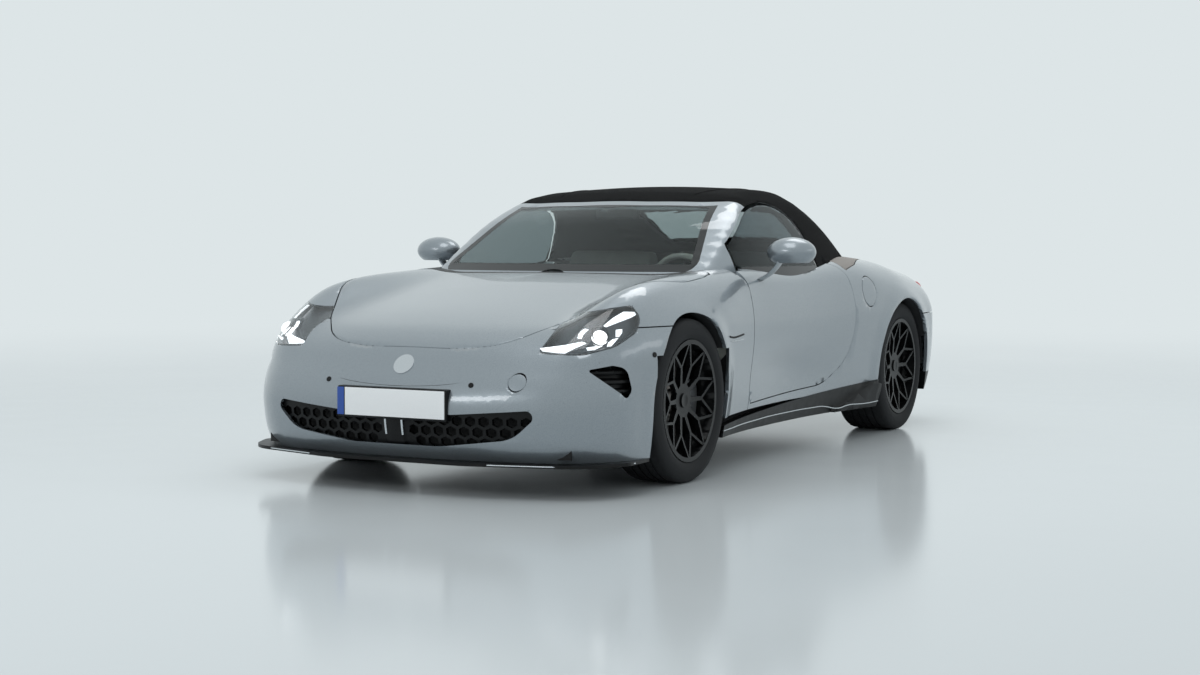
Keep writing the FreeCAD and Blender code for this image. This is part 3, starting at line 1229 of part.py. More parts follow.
def rim_profile(half):
    """Section of the rim barrel, from the outer flange to the inner one."""
    seat = rim_radius - rim_lip - rim_wall / 5 - ease
    drop = rim_radius - size("rim_drop")
    outside = [(half, rim_radius), (half - rim_wall, rim_radius), (half - rim_wall, seat),
               (half * .55, seat), (half * .45, drop), (-half * .3, drop), (-half * .5, seat),
               (-half + rim_wall, seat), (-half + rim_wall, rim_radius), (-half, rim_radius)]
    inside = [(-half, seat - rim_wall), (-half * .5, seat - rim_wall), (-half * .3, drop - rim_wall),
              (half * .45, drop - rim_wall), (half * .60, seat - rim_wall), (half, seat - rim_wall)]
    places = [V(across, up, 0) for across, up in outside + inside]
    return Part.Face(Part.makePolygon(places + places[:1]))


def bar_prism(start, end, start_width, end_width, near, far):
    """Tapered bar between two points given as (radius, angle), drawn square to the wheel's axis."""
    first = V(0, start[0] * math.cos(start[1]), start[0] * math.sin(start[1]))
    last = V(0, end[0] * math.cos(end[1]), end[0] * math.sin(end[1]))
    run = (last - first).normalize()
    side_step = V(0, -run.z, run.y)
    corners = [first + side_step * (start_width / 2), last + side_step * (end_width / 2),
               last - side_step * (end_width / 2), first - side_step * (start_width / 2)]
    face = Part.Face(Part.makePolygon(corners + corners[:1]))
    face.translate(V(near, 0, 0))
    return face.extrude(V(far - near, 0, 0))


def rim(width_alias):
    """Rim about the X axis, its face toward +X: hub, spokes that split in two, and barrel."""
    half = size(width_alias) / 2 - rim_wall * 1.3
    barrel = rim_profile(half).revolve(V(), V(1, 0, 0), 360)
    inner = rim_radius - rim_lip - 1.6 * rim_wall
    dish = size("hub_dish")
    depth = size("spoke_depth")
    face_rows = [(half - dish, 0), (half - dish, hub_radius), (half - rim_wall * .6, inner + rim_wall)]
    hub_back = half - dish - depth
    back_rows = [(half - depth * .9, inner + rim_wall), (hub_back, hub_radius), (hub_back, 0)]
    places = [V(across, up, 0) for across, up in face_rows + back_rows]
    dished = Part.Face(Part.makePolygon(places + places[:1])).revolve(V(), V(1, 0, 0), 360)
    split = size("spoke_split_radius")
    waist = size("spoke_waist")
    arm_width = size("spoke_arm")
    turn_step = 2 * math.pi / size("spoke_count")
    near = -half
    far = half * 1.2
    bars = []
    for number in range(int(size("spoke_count"))):
        turn = number * turn_step
        bars.append(bar_prism((hub_radius * .6, turn), (split, turn), size("spoke_root"), waist, near, far))
        for hand in (-1, 1):
            tip = (inner + rim_wall * .6, turn + hand * turn_step * .47)
            bars.append(bar_prism((split - waist / 2, turn), tip, arm_width, arm_width, near, far))
    hub = Part.makeCylinder(hub_radius, far - near, V(near, 0, 0), V(1, 0, 0))
    star = hub.fuse(bars).common(dished)
    wheel = barrel.fuse(star)
    bore = Part.makeCylinder(size("spindle_radius") + ease, half + half, V(-half, 0, 0), V(1, 0, 0))
    bore_end = V(half - dish - depth * .45, half_width, half_width)
    bore = bore.common(box_between(V(-half, -half_width, -half_width), bore_end))
    return largest(wheel.cut(bore).removeSplitter())


def disc(radius_alias, width_alias):
    half = size(width_alias) / 2 - rim_wall * 1.3
    face = half - size("hub_dish") - size("spoke_depth") - ease
    plate_at = face - size("disc_inset")
    plate = Part.makeCylinder(size(radius_alias), size("disc_thickness"), V(plate_at, 0, 0), V(1, 0, 0))
    bell = Part.makeCylinder(size("disc_bell_radius"), face - plate_at, V(plate_at, 0, 0), V(1, 0, 0))
    hole = Part.makeCylinder(size("spindle_radius") + ease, 2 * half, V(-half, 0, 0), V(1, 0, 0))
    return plate.fuse(bell).cut(hole).removeSplitter()


def knuckle(width_alias, radius_alias, axle, centre_x, pin_x):
    """Upright on the kingpin with its spindle and the brake caliper behind the axle."""
    half = size(width_alias) / 2 - rim_wall * 1.3
    face = centre_x + half - size("hub_dish") - size("spoke_depth")
    plate_at = face - ease - size("disc_inset")
    tall = size("upright_height") / 2
    post = Part.makeCylinder(size("upright_radius"), 2 * tall, V(pin_x, axle, tyre_radius - tall))
    spindle = along_x(size("spindle_radius"), pin_x, face + size("spoke_depth") * .4, axle, tyre_radius)
    thick = size("disc_thickness")
    radius = size(radius_alias)
    caliper_half = size("caliper_height") / 2
    caliper_in = plate_at - 2.2 * thick
    caliper_far = plate_at + 1.8 * thick
    clear_of_bell = axle + size("disc_bell_radius") + 2 * gap
    caliper = box_between(V(caliper_in, clear_of_bell, tyre_radius - caliper_half),
                          V(caliper_far, axle + rim_radius, tyre_radius + caliper_half))
    rim_inside = rim_radius - size("rim_drop") - rim_wall - 2 * gap
    round_room = along_x(rim_inside, caliper_in - over, half_width, axle, tyre_radius)
    disc_room = along_x(radius + gap, plate_at - gap, plate_at + thick + gap, axle, tyre_radius)
    bracket = box_between(V(pin_x, axle, tyre_radius - caliper_half / 2),
                          V(caliper_in + thick, axle + radius * .8, tyre_radius + caliper_half / 2))
    return largest(post.fuse([spindle, caliper, bracket]).common(
        round_room.fuse(Part.makeCylinder(size("upright_radius"), height, V(pin_x, axle, 0)))).cut(
        disc_room.cut(along_x(size("spindle_radius"), 0, half_width, axle, tyre_radius))))


def arms(axle, pin_x):
    """Lower and upper arm and drive shaft between the rails and the upright."""
    tall = size("upright_height") / 2
    low = tyre_radius - tall - ease
    high = tyre_radius + tall + ease
    solids = []
    rail = size("rail_offset")
    for bottom, top in ((low - size("arm_thickness"), low), (high, high + size("arm_thickness"))):
        eye = Part.makeCylinder(size("upright_radius") * .8, top - bottom, V(pin_x, axle, bottom))
        spread = [(rail + ease, axle - 3 * over, 0), (pin_x, axle - skin, 0), (pin_x, axle + skin, 0),
                  (rail + ease, axle + 3 * over, 0)]
        hollow = [(rail - over, axle - 1.6 * over, trim_round), (pin_x - 2.4 * over, axle, trim_round),
                  (rail - over, axle + 1.6 * over, trim_round)]
        arm = prism(rounded_wire(spread), "plan", bottom, top)
        arm = arm.cut(prism(rounded_wire(hollow), "plan", bottom, top))
        solids.append(arm.fuse(eye).removeSplitter())
    shaft_end = pin_x - size("upright_radius") - ease
    shaft_start = size("drive_length") / 2 + ease
    solids.append(along_x(size("shaft_radius"), shaft_start, shaft_end, axle, tyre_radius))
    return solids


front_rim = rim("tyre_width_front")
rear_rim = rim("tyre_width_rear")
front_disc = disc("disc_radius_front", "tyre_width_front")
rear_disc = disc("disc_radius_rear", "tyre_width_rear")
corners = (("front_left", 1, front_axle, track_front, "tyre_width_front", front_rim, front_disc),
           ("front_right", -1, front_axle, track_front, "tyre_width_front", front_rim, front_disc),
           ("rear_left", 1, rear_axle, track_rear, "tyre_width_rear", rear_rim, rear_disc),
           ("rear_right", -1, rear_axle, track_rear, "tyre_width_rear", rear_rim, rear_disc))
for corner, sign, axle, centre, width_alias, rim_shape, disc_shape in corners:
    tyre("tyre_" + corner, width_alias, sign * centre, axle)
    for kind, shape in (("rim_", rim_shape), ("brake_disc_", disc_shape)):
        placed = shape.copy() if sign > 0 else mirrored(shape)
        placed.translate(V(sign * centre, axle, tyre_radius))
        piece(kind + corner, placed)

front_knuckle = knuckle("tyre_width_front", "disc_radius_front", front_axle, track_front, kingpin)
piece("knuckle_left", front_knuckle)
piece("knuckle_right", mirrored(front_knuckle))
front_arms = arms(front_axle, kingpin)
piece("front_suspension", Part.makeCompound(front_arms + [mirrored(arm) for arm in front_arms]))
rear_pin = track_rear - size("kingpin_inset")
rear_knuckle = knuckle("tyre_width_rear", "disc_radius_rear", rear_axle, track_rear, rear_pin)
rear_arms = arms(rear_axle, rear_pin) + [rear_knuckle]
piece("rear_suspension", Part.makeCompound(rear_arms + [mirrored(arm) for arm in rear_arms]))

doc.recompute()
for item in doc.Objects:
    if "Invalid" in item.State or "Error" in item.State:
        raise RuntimeError("%s failed: %s" % (item.Label, item.State))
for item in sub_parts:
    if item.Shape.isNull() or not item.Shape.isValid() or not item.Shape.Solids:
        raise RuntimeError("%s has no valid solid" % item.Label)

os.makedirs("parts", exist_ok=True)
for item in sub_parts:
    item.Shape.exportStep("parts/%s.step" % item.Label)
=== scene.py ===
import bpy
import bmesh
import json
import math
from mathutils import Matrix, Vector
from mathutils.bvhtree import BVHTree


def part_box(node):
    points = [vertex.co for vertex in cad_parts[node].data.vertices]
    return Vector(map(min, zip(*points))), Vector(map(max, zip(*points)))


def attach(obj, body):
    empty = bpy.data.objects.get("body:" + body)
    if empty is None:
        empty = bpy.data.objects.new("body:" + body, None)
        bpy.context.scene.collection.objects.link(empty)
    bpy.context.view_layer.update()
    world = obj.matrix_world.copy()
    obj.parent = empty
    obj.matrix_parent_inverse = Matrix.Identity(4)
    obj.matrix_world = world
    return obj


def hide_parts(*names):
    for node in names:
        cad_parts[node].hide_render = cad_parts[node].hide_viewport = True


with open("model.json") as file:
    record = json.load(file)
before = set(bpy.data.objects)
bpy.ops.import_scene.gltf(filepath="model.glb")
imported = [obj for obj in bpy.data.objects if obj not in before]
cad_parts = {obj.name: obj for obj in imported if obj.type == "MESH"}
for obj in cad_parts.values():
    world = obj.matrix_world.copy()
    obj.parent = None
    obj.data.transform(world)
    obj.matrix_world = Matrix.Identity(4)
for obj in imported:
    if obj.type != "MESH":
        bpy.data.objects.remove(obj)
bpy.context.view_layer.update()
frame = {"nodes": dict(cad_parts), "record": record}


# Camera
# It stands low off the car's left front corner, a little above the bonnet, with a normal lens.

def aim_camera(place, yaw, pitch, roll):
    """Level camera turned by yaw about the vertical, then tipped by pitch and roll."""
    ahead = Vector((math.sin(yaw) * math.cos(pitch), math.cos(yaw) * math.cos(pitch), math.sin(pitch)))
    level = ahead.cross(Vector((0, 0, 1))).normalized()
    above = level.cross(ahead)
    right = level * math.cos(roll) + above * math.sin(roll)
    up = right.cross(ahead)
    turn = Matrix((right, up, -ahead)).transposed().to_4x4()
    bpy.ops.object.camera_add(location=(0, 0, 0))
    made = bpy.context.object
    made.name = "camera_front_left"
    made.matrix_world = Matrix.Translation(place) @ turn
    return made


# The CAD nodes come selected, so they are deselected first.
for thing in bpy.context.selected_objects:
    thing.select_set(False)
film_width = 36
focal_length, frame_width = 1856.3, 1200
camera = aim_camera(place=(4.33164, -8.51007, 1.01687), yaw=-0.4947, pitch=-0.0499, roll=0.0033)
camera.data.sensor_width = film_width
camera.data.lens = focal_length / frame_width * film_width
camera.data.clip_end = 200
bpy.context.scene.camera = camera
bpy.context.scene.view_settings.view_transform = "Standard"


# Studio
# A pale polished floor that runs into a white surround. Long softboxes overhead and at the sides draw the soft
# bands that run along the paint.

def linear(code):
    """Linear colour of an sRGB hex value."""
    parts = [int(code[place:place + 2], 16) / 255 for place in (1, 3, 5)]
    return [part / 12.92 if part <= .04045 else ((part + .055) / 1.055) ** 2.4 for part in parts] + [1]


def add_node(tree, kind, settings=None, links=None):
    """Node with its settings, by property or socket name, and its links from other nodes' sockets."""
    made = tree.nodes.new(kind)
    for name, value in (settings or {}).items():
        if isinstance(name, str) and hasattr(made, name):
            setattr(made, name, value)
        else:
            made.inputs[name].default_value = value
    for name, source in (links or {}).items():
        tree.links.new(source, made.inputs[name])
    return made


def start_material(name, **settings):
    """Material with one Principled shader whose sockets are set by name, underscores for spaces."""
    made = bpy.data.materials.new(name)
    made.use_nodes = True
    shader = made.node_tree.nodes["Principled BSDF"]
    for socket, value in settings.items():
        colour_or_number = linear(value) if isinstance(value, str) else value
        shader.inputs[socket.replace("_", " ")].default_value = colour_or_number
    return made, made.node_tree, shader


def only(*things):
    """Selects these objects alone, the first one active."""
    for thing in bpy.context.selected_objects:
        thing.select_set(False)
    for thing in things:
        thing.select_set(True)
    bpy.context.view_layer.objects.active = things[0]


# Polished resin floor: pale grey with a clear gloss over a slightly cloudy base. For the camera it runs into the
# white surround between 3 and 15 metres out, so no horizon shows.
fade_start, fade_end = 3, 15
surround_white = linear("#DDE5E7")
resin, tree, shader = start_material("polished_floor_resin", Base_Color="#D6DCDE", Specular_IOR_Level=.4)
spot = add_node(tree, "ShaderNodeTexCoord")
cloud = add_node(tree, "ShaderNodeTexNoise", {"Scale": .7, "Detail": 3}, {"Vector": spot.outputs["Object"]})
haze = add_node(tree, "ShaderNodeMapRange", {"To Min": .08, "To Max": .2}, {"Value": cloud.outputs["Fac"]})
tree.links.new(haze.outputs["Result"], shader.inputs["Roughness"])
away = add_node(tree, "ShaderNodeVectorMath", {"operation": "LENGTH"}, {0: spot.outputs["Object"]})
fade = add_node(tree, "ShaderNodeMapRange",
                {"interpolation_type": "SMOOTHSTEP", "From Min": fade_start, "From Max": fade_end},
                {"Value": away.outputs["Value"]})
seen = add_node(tree, "ShaderNodeLightPath")
direct = add_node(tree, "ShaderNodeMath", {"operation": "MAXIMUM"},
                  {0: seen.outputs["Is Camera Ray"], 1: seen.outputs["Is Transmission Ray"]})
blend = add_node(tree, "ShaderNodeMath", {"operation": "MULTIPLY"},
                 {0: fade.outputs["Result"], 1: direct.outputs[0]})
surround = add_node(tree, "ShaderNodeEmission", {"Color": surround_white, "Strength": 1})
mixed = add_node(tree, "ShaderNodeMixShader", None,
                 {0: blend.outputs[0], 1: shader.outputs["BSDF"], 2: surround.outputs[0]})
tree.links.new(mixed.outputs[0], tree.nodes["Material Output"].inputs["Surface"])
bpy.ops.mesh.primitive_plane_add(size=150)
floor = bpy.context.object
floor.name = "studio_floor"
floor.data.materials.append(resin)

# The surround lights the car at a plain level. The camera, glass and paint see it a little whiter.
world = bpy.data.worlds.new("white_studio")
bpy.context.scene.world = world
world.use_nodes = True
sky = world.node_tree
sky.nodes.clear()
seen = add_node(sky, "ShaderNodeLightPath")
either = add_node(sky, "ShaderNodeMath", {"operation": "MAXIMUM"},
                  {0: seen.outputs["Is Camera Ray"], 1: seen.outputs["Is Transmission Ray"]})
direct = add_node(sky, "ShaderNodeMath", {"operation": "MAXIMUM"},
                  {0: either.outputs[0], 1: seen.outputs["Is Glossy Ray"]})
plain = add_node(sky, "ShaderNodeBackground", {"Color": linear("#E6ECEF"), "Strength": .85})
white = add_node(sky, "ShaderNodeBackground", {"Color": surround_white, "Strength": 1})
chosen = add_node(sky, "ShaderNodeMixShader", None,
                  {0: direct.outputs[0], 1: plain.outputs[0], 2: white.outputs[0]})
add_node(sky, "ShaderNodeOutputWorld", None, {"Surface": chosen.outputs[0]})


def softbox(name, place, target, across, along, watts):
    """Rectangular area lamp aimed at a point."""
    bpy.ops.object.light_add(type="AREA", location=(0, 0, 0))
    lamp = bpy.context.object
    lamp.name = name
    lamp.data.shape = "RECTANGLE"
    lamp.data.size = across
    lamp.data.size_y = along
    lamp.data.energy = watts
    turn = (Vector(target) - Vector(place)).to_track_quat("-Z", "Y").to_matrix().to_4x4()
    lamp.matrix_world = Matrix.Translation(place) @ turn
    lamp.visible_camera = False


softbox("softbox_over_bonnet", (.5, -2.0, 4.8), (.2, -1.0, .6), 2.2, 3.2, 45)
softbox("softbox_over_roof", (.4, 2.2, 4.8), (.2, 1.2, .8), 2.4, 2.2, 40)
softbox("softbox_left_flank", (6.0, 1.0, 3.0), (.8, .6, .5), 4.5, .9, 12)
softbox("softbox_front", (-1.6, -7.5, 3.2), (-.2, -1.8, .5), 2.6, 1.2, 40)


# Painted panels
# Pressed aluminium and steel skins in a light silver metallic paint under clear lacquer. Each is hung or
# clipped on its own, with shut lines of about 5 mm, so each is a piece of its own here too.

def body_of(node):
    """Name of the CAD body that a node rides on."""
    for name, members in frame["record"]["behaviour"]["bodies"].items():
        if node in members:
            return name


def refine(piece, kind, **settings):
    """Applies one modifier with its settings to the active piece."""
    change = piece.modifiers.new(kind.lower(), kind)
    for name, value in settings.items():
        setattr(change, name, value)
    bpy.ops.object.modifier_apply(modifier=change.name)


def merged_copy(node, name, angle=28):
    """Copy of a CAD node that stands for it, its loose triangles merged and its curved faces smoothed."""
    copy = bpy.data.objects.new(name, frame["nodes"][node].data.copy())
    bpy.context.scene.collection.objects.link(copy)
    copy.data.materials.clear()
    only(copy)
    bpy.ops.object.mode_set(mode="EDIT")
    bpy.ops.mesh.select_all(action="SELECT")
    bpy.ops.mesh.remove_doubles(threshold=.00002)
    bpy.ops.object.mode_set(mode="OBJECT")
    bpy.ops.object.shade_smooth_by_angle(angle=math.radians(angle))
    refine(copy, "WEIGHTED_NORMAL", mode="FACE_AREA_WITH_ANGLE", keep_sharp=True)
    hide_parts(node)
    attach(copy, body_of(node))
    return copy


def line_inside(piece, finish, inward):
    """Gives the faces that look inward, by a test of a face's centre and normal, their own finish."""
    piece.data.materials.append(finish)
    for face in piece.data.polygons:
        if inward(face.center, face.normal):
            face.material_index = 1


# Metallic basecoat under clear lacquer, sprayed and polished: a bright grey that darkens towards grazing angles,
# with a fine sparkle from aluminium flakes. The flakes are 20 to 50 microns, drawn at 0.8 mm so that they show.
flake_size = .0008
lacquer, tree, shader = start_material("silver_metallic_lacquer", Metallic=.55, Coat_Weight=1,
                                       Coat_Roughness=.02, Coat_IOR=1.5)
spot = add_node(tree, "ShaderNodeTexCoord")
flake = add_node(tree, "ShaderNodeTexVoronoi", {"Scale": 1 / flake_size}, {"Vector": spot.outputs["Object"]})
glint = add_node(tree, "ShaderNodeSeparateColor", None, {"Color": flake.outputs["Color"]})
tint = add_node(tree, "ShaderNodeMix", {"data_type": "RGBA"}, {0: glint.outputs["Red"]})
tint.inputs[6].default_value = linear("#848C92")
tint.inputs[7].default_value = linear("#939BA1")
tree.links.new(tint.outputs[2], shader.inputs["Base Color"])
sparkle = add_node(tree, "ShaderNodeMapRange", {"To Min": .26, "To Max": .40},
                   {"Value": glint.outputs["Green"]})
tree.links.new(sparkle.outputs["Result"], shader.inputs["Roughness"])

# Grained soft plastic: the dark moulded lining of doors, pillars and dashboard, with a leathery grain 1.2 mm
# across.
grain_width = .0012
cabin_plastic, tree, shader = start_material("grained_cabin_plastic", Base_Color="#35373A", Roughness=.62)
spot = add_node(tree, "ShaderNodeTexCoord")
grain = add_node(tree, "ShaderNodeTexVoronoi", {"Scale": 1 / grain_width}, {"Vector": spot.outputs["Object"]})
bump = add_node(tree, "ShaderNodeBump", {"Strength": .3, "Distance": .0003},
                {"Height": grain.outputs["Distance"]})
tree.links.new(bump.outputs["Normal"], shader.inputs["Normal"])

for panel in ("bonnet", "front_bumper", "front_wing_left", "front_wing_right", "rear_quarter_left",
              "rear_quarter_right", "rear_bumper", "boot_lid", "charge_flap"):
    skin = merged_copy(panel, "painted_" + panel)
    skin.data.materials.append(lacquer)
for side, hand in (("left", 1), ("right", -1)):
    skin = merged_copy("door_" + side, "painted_door_" + side)
    skin.data.materials.append(lacquer)
    line_inside(skin, cabin_plastic, lambda place, normal: normal.x * hand < -.3)
# The frame's lining is what faces the middle of the cabin.
cabin_middle = Vector((0, .4, .6))
skin = merged_copy("windscreen_frame", "painted_windscreen_frame")
skin.data.materials.append(lacquer)
line_inside(skin, cabin_plastic, lambda place, normal: normal.dot((place - cabin_middle).normalized()) < -.5)


# Black lower trim
# Injection-moulded ABS in gloss black: splitter, sill skirts, side intakes, lower grille, diffuser and cowl. A
# thin bright strip is pressed into the lower edge of each skirt.

searched = {}


def settle(piece, name, finish, body, angle=35):
    """Finishes a new piece: name, place in its mesh, outward normals, smooth curves, finish and body."""
    piece.name = name
    only(piece)
    bpy.ops.object.transform_apply(location=True, rotation=True, scale=True)
    bpy.ops.object.mode_set(mode="EDIT")
    bpy.ops.mesh.select_all(action="SELECT")
    bpy.ops.mesh.normals_make_consistent(inside=False)
    bpy.ops.object.mode_set(mode="OBJECT")
    bpy.ops.object.shade_smooth_by_angle(angle=math.radians(angle))
    piece.data.materials.clear()
    piece.data.materials.append(finish)
    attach(piece, body)
    return piece


def search_tree(node):
    """Search tree over the faces of a CAD node, made once."""
    if node not in searched:
        mesh = frame["nodes"][node].data
        searched[node] = BVHTree.FromPolygons([corner.co for corner in mesh.vertices],
                                              [face.vertices for face in mesh.polygons])
    return searched[node]


def on_skin(node, point, depth=0):
    """Place on a CAD node nearest to a point, pushed in by a depth, and the outward normal there."""
    place, normal = search_tree(node).find_nearest(Vector(point))[:2]
    return place - normal * depth, normal


def bead(name, points, thickness, finish, body):
    """Thin round bead along a smooth line through points."""
    curve = bpy.data.curves.new(name, "CURVE")
    curve.dimensions = "3D"
    curve.bevel_depth = thickness / 2
    curve.bevel_resolution = 2
    curve.use_fill_caps = True
    line = curve.splines.new("NURBS")
    line.points.add(len(points) - 1)
    for knot, point in zip(line.points, points):
        knot.co = (*point, 1)
    line.order_u = 3
    line.use_endpoint_u = True
    made = bpy.data.objects.new(name, curve)
    bpy.context.scene.collection.objects.link(made)
    only(made)
    bpy.ops.object.convert(target="MESH")
    return settle(bpy.context.object, name, finish, body, 60)


# Gloss black ABS: moulded, slightly dusty, with a soft sheen from the mould's fine grain.
gloss_black, tree, shader = start_material("gloss_black_abs", Base_Color="#0B0C0D", Specular_IOR_Level=.22)
spot = add_node(tree, "ShaderNodeTexCoord")
dust = add_node(tree, "ShaderNodeTexNoise", {"Scale": 26, "Detail": 5}, {"Vector": spot.outputs["Object"]})
soft = add_node(tree, "ShaderNodeMapRange", {"To Min": .28, "To Max": .46}, {"Value": dust.outputs["Fac"]})
tree.links.new(soft.outputs["Result"], shader.inputs["Roughness"])

# Brushed aluminium trim: bright, with fine lines along the car about 0.3 mm apart, drawn at 0.8 mm.
brush_step = .0008
bright_trim, tree, shader = start_material("brushed_aluminium_trim", Base_Color="#C9CDD0", Metallic=1)
spot = add_node(tree, "ShaderNodeTexCoord")
drawn = add_node(tree, "ShaderNodeMapping", {"Scale": (1, .03, 1)}, {"Vector": spot.outputs["Object"]})
lines = add_node(tree, "ShaderNodeTexNoise", {"Scale": 1 / brush_step, "Detail": 2},
                 {"Vector": drawn.outputs["Vector"]})
soft = add_node(tree, "ShaderNodeMapRange", {"To Min": .18, "To Max": .34}, {"Value": lines.outputs["Fac"]})
tree.links.new(soft.outputs["Result"], shader.inputs["Roughness"])

for trim in ("front_splitter", "side_skirt_left", "side_skirt_right", "side_intake_left", "side_intake_right",
             "lower_grille", "rear_diffuser", "cowl_panel"):
    part = merged_copy(trim, "black_" + trim)
    part.data.materials.append(gloss_black)
# Bright strips: one along each skirt, one on each half of the splitter's edge, and two upright vanes that frame
# the grille's strut.
strip_width, vane_width = .006, .011
for side, hand in (("left", 1), ("right", -1)):
    low_edge = [on_skin("side_skirt_" + side, (hand * 1.02, -.98 + .12 * step, .163), -.001)[0]
                for step in range(17)]
    bead("skirt_strip_" + side, low_edge, strip_width, bright_trim, "body")
    lip = [on_skin("front_splitter", (hand * across, -2.34 + back, .137), -.0005)[0]
           for across, back in ((.46, .02), (.60, .06), (.72, .12), (.82, .22), (.90, .34), (.93, .46))]
    bead("splitter_strip_" + side, lip, strip_width, bright_trim, "body")
    vane = [on_skin("lower_grille", (hand * .041, -2.4, up), .001)[0] for up in (.206, .23, .26, .29, .322)]
    bead("grille_vane_" + side, vane, vane_width, bright_trim, "body")


# Radiator core: black flat tubes with folded fins between them 1.6 mm apart, seen dimly through the grille. A
# wave texture at scale 1 has one wave in each twentieth of a full turn, measured in metres.
one_wave = math.tau / 20
fin_step = .0015708
radiator_fins, tree, shader = start_material("black_radiator_fins", Base_Color="#0A0A0B", Roughness=.6)
spot = add_node(tree, "ShaderNodeTexCoord")
folds = add_node(tree, "ShaderNodeTexWave", {"Scale": one_wave / fin_step}, {"Vector": spot.outputs["Object"]})
bump = add_node(tree, "ShaderNodeBump", {"Strength": .6, "Distance": .001}, {"Height": folds.outputs["Fac"]})
tree.links.new(bump.outputs["Normal"], shader.inputs["Normal"])
core_width, core_height, core_middle, core_behind, core_thickness = 1.5, .25, .285, .075, .012
bpy.ops.mesh.primitive_grid_add(x_subdivisions=48, y_subdivisions=8, size=1, location=(0, 0, 0))
core = bpy.context.object
only(core)
bpy.ops.object.mode_set(mode="EDIT")
mesh = bmesh.from_edit_mesh(core.data)
for corner in mesh.verts:
    across, up = corner.co.x * core_width, core_middle + corner.co.y * core_height
    corner.co = (across, on_skin("front_bumper", (across, -2.4, .42))[0].y + core_behind, up)
bmesh.update_edit_mesh(core.data)
bpy.ops.object.mode_set(mode="OBJECT")
refine(core, "SOLIDIFY", thickness=core_thickness)
settle(core, "radiator_core", radiator_fins, "body")


# Fabric roof
# A three-layer woven roof cloth stretched over hidden bows, black outside and grey inside. Its panels are joined
# by welded seams.

# Woven acrylic cloth: matt black with a fine twill. Threads are 0.5 mm apart, drawn at 1.3 mm so that they show.
thread_step = .0012566
roof_cloth, tree, shader = start_material("woven_roof_cloth", Base_Color="#0A0B0C", Roughness=.95,
                                          Sheen_Weight=.02, Sheen_Roughness=.5, Specular_IOR_Level=.08)
spot = add_node(tree, "ShaderNodeTexCoord")
turned = add_node(tree, "ShaderNodeMapping", {"Rotation": (0, 0, math.radians(45))},
                  {"Vector": spot.outputs["Object"]})
warp, weft = (add_node(tree, "ShaderNodeTexWave",
                       {"bands_direction": way, "Scale": one_wave / thread_step, "Distortion": .4},
                       {"Vector": turned.outputs["Vector"]}) for way in "XY")
crossed = add_node(tree, "ShaderNodeMath", {"operation": "MULTIPLY"},
                   {0: warp.outputs["Fac"], 1: weft.outputs["Fac"]})
bump = add_node(tree, "ShaderNodeBump", {"Strength": .4, "Distance": .0006}, {"Height": crossed.outputs[0]})
tree.links.new(bump.outputs["Normal"], shader.inputs["Normal"])

# Napped headlining: grey knitted fabric on foam, soft and without shine, with loops 3 mm across.
loop_width = .003
headlining, tree, shader = start_material("grey_headlining", Base_Color="#6B6C6E", Roughness=1, Sheen_Weight=.3,
                                          Specular_IOR_Level=.1)
spot = add_node(tree, "ShaderNodeTexCoord")
nap = add_node(tree, "ShaderNodeTexNoise", {"Scale": 1 / loop_width, "Detail": 3},
               {"Vector": spot.outputs["Object"]})
bump = add_node(tree, "ShaderNodeBump", {"Strength": .3, "Distance": .0005}, {"Height": nap.outputs["Fac"]})
tree.links.new(bump.outputs["Normal"], shader.inputs["Normal"])

# Sealing rubber: dull black extrusion with a slightly chalky skin. The same dark finish also draws the painted
# shade line along the bumper's crease.
seal_rubber_and_shade_line, tree, shader = start_material("sealing_rubber_and_painted_shade", Base_Color="#0D0D0E", Roughness=.7)
spot = add_node(tree, "ShaderNodeTexCoord")
chalk = add_node(tree, "ShaderNodeTexNoise", {"Scale": 60, "Detail": 3}, {"Vector": spot.outputs["Object"]})
soft = add_node(tree, "ShaderNodeMapRange", {"To Min": .55, "To Max": .8}, {"Value": chalk.outputs["Fac"]})
tree.links.new(soft.outputs["Result"], shader.inputs["Roughness"])

roof = merged_copy("soft_top", "roof_cloth_skin", 40)
roof.data.materials.append(roof_cloth)
line_inside(roof, headlining,
            lambda place, normal: normal.dot(Vector((place.x, (place.y - .5) * .6, place.z - .6))) < -.02)

# Seams: two along the roof that widen rearwards, and one across it over the rear bow.
seam_width, seam_proud, above_roof = .005, .0008, 1.6
seams = {"left": [(.40 + .012 * step, -.30 + .115 * step) for step in range(11)],
         "right": [(-.40 - .012 * step, -.30 + .115 * step) for step in range(11)],
         "across": [(-.55 + .11 * step, .50) for step in range(11)]}
for way, places in seams.items():
    seam = [on_skin("soft_top", (*place, above_roof), -seam_proud)[0] for place in places]
    bead("roof_seam_" + way, seam, seam_width, roof_cloth, "body")


# Tonneau cover
# A moulded cover behind the roof, clad in a warm grey soft-touch skin, with a joint to the painted haunches.

# Soft-touch coated polyurethane: warm grey with a fine leathery grain about 1.5 mm across.
touch_grain = .0015
soft_touch, tree, shader = start_material("soft_touch_cover", Base_Color="#8B8580", Roughness=.6)
spot = add_node(tree, "ShaderNodeTexCoord")
grain = add_node(tree, "ShaderNodeTexVoronoi", {"Scale": 1 / touch_grain}, {"Vector": spot.outputs["Object"]})
bump = add_node(tree, "ShaderNodeBump", {"Strength": .2, "Distance": .0003},
                {"Height": grain.outputs["Distance"]})
tree.links.new(bump.outputs["Normal"], shader.inputs["Normal"])
cover = merged_copy("tonneau_cover", "tonneau_cover_skin")
cover.data.materials.append(soft_touch)


# Glass
# Laminated windscreen, tempered side and rear glass, tinted, with a fired black border that hides the glue.

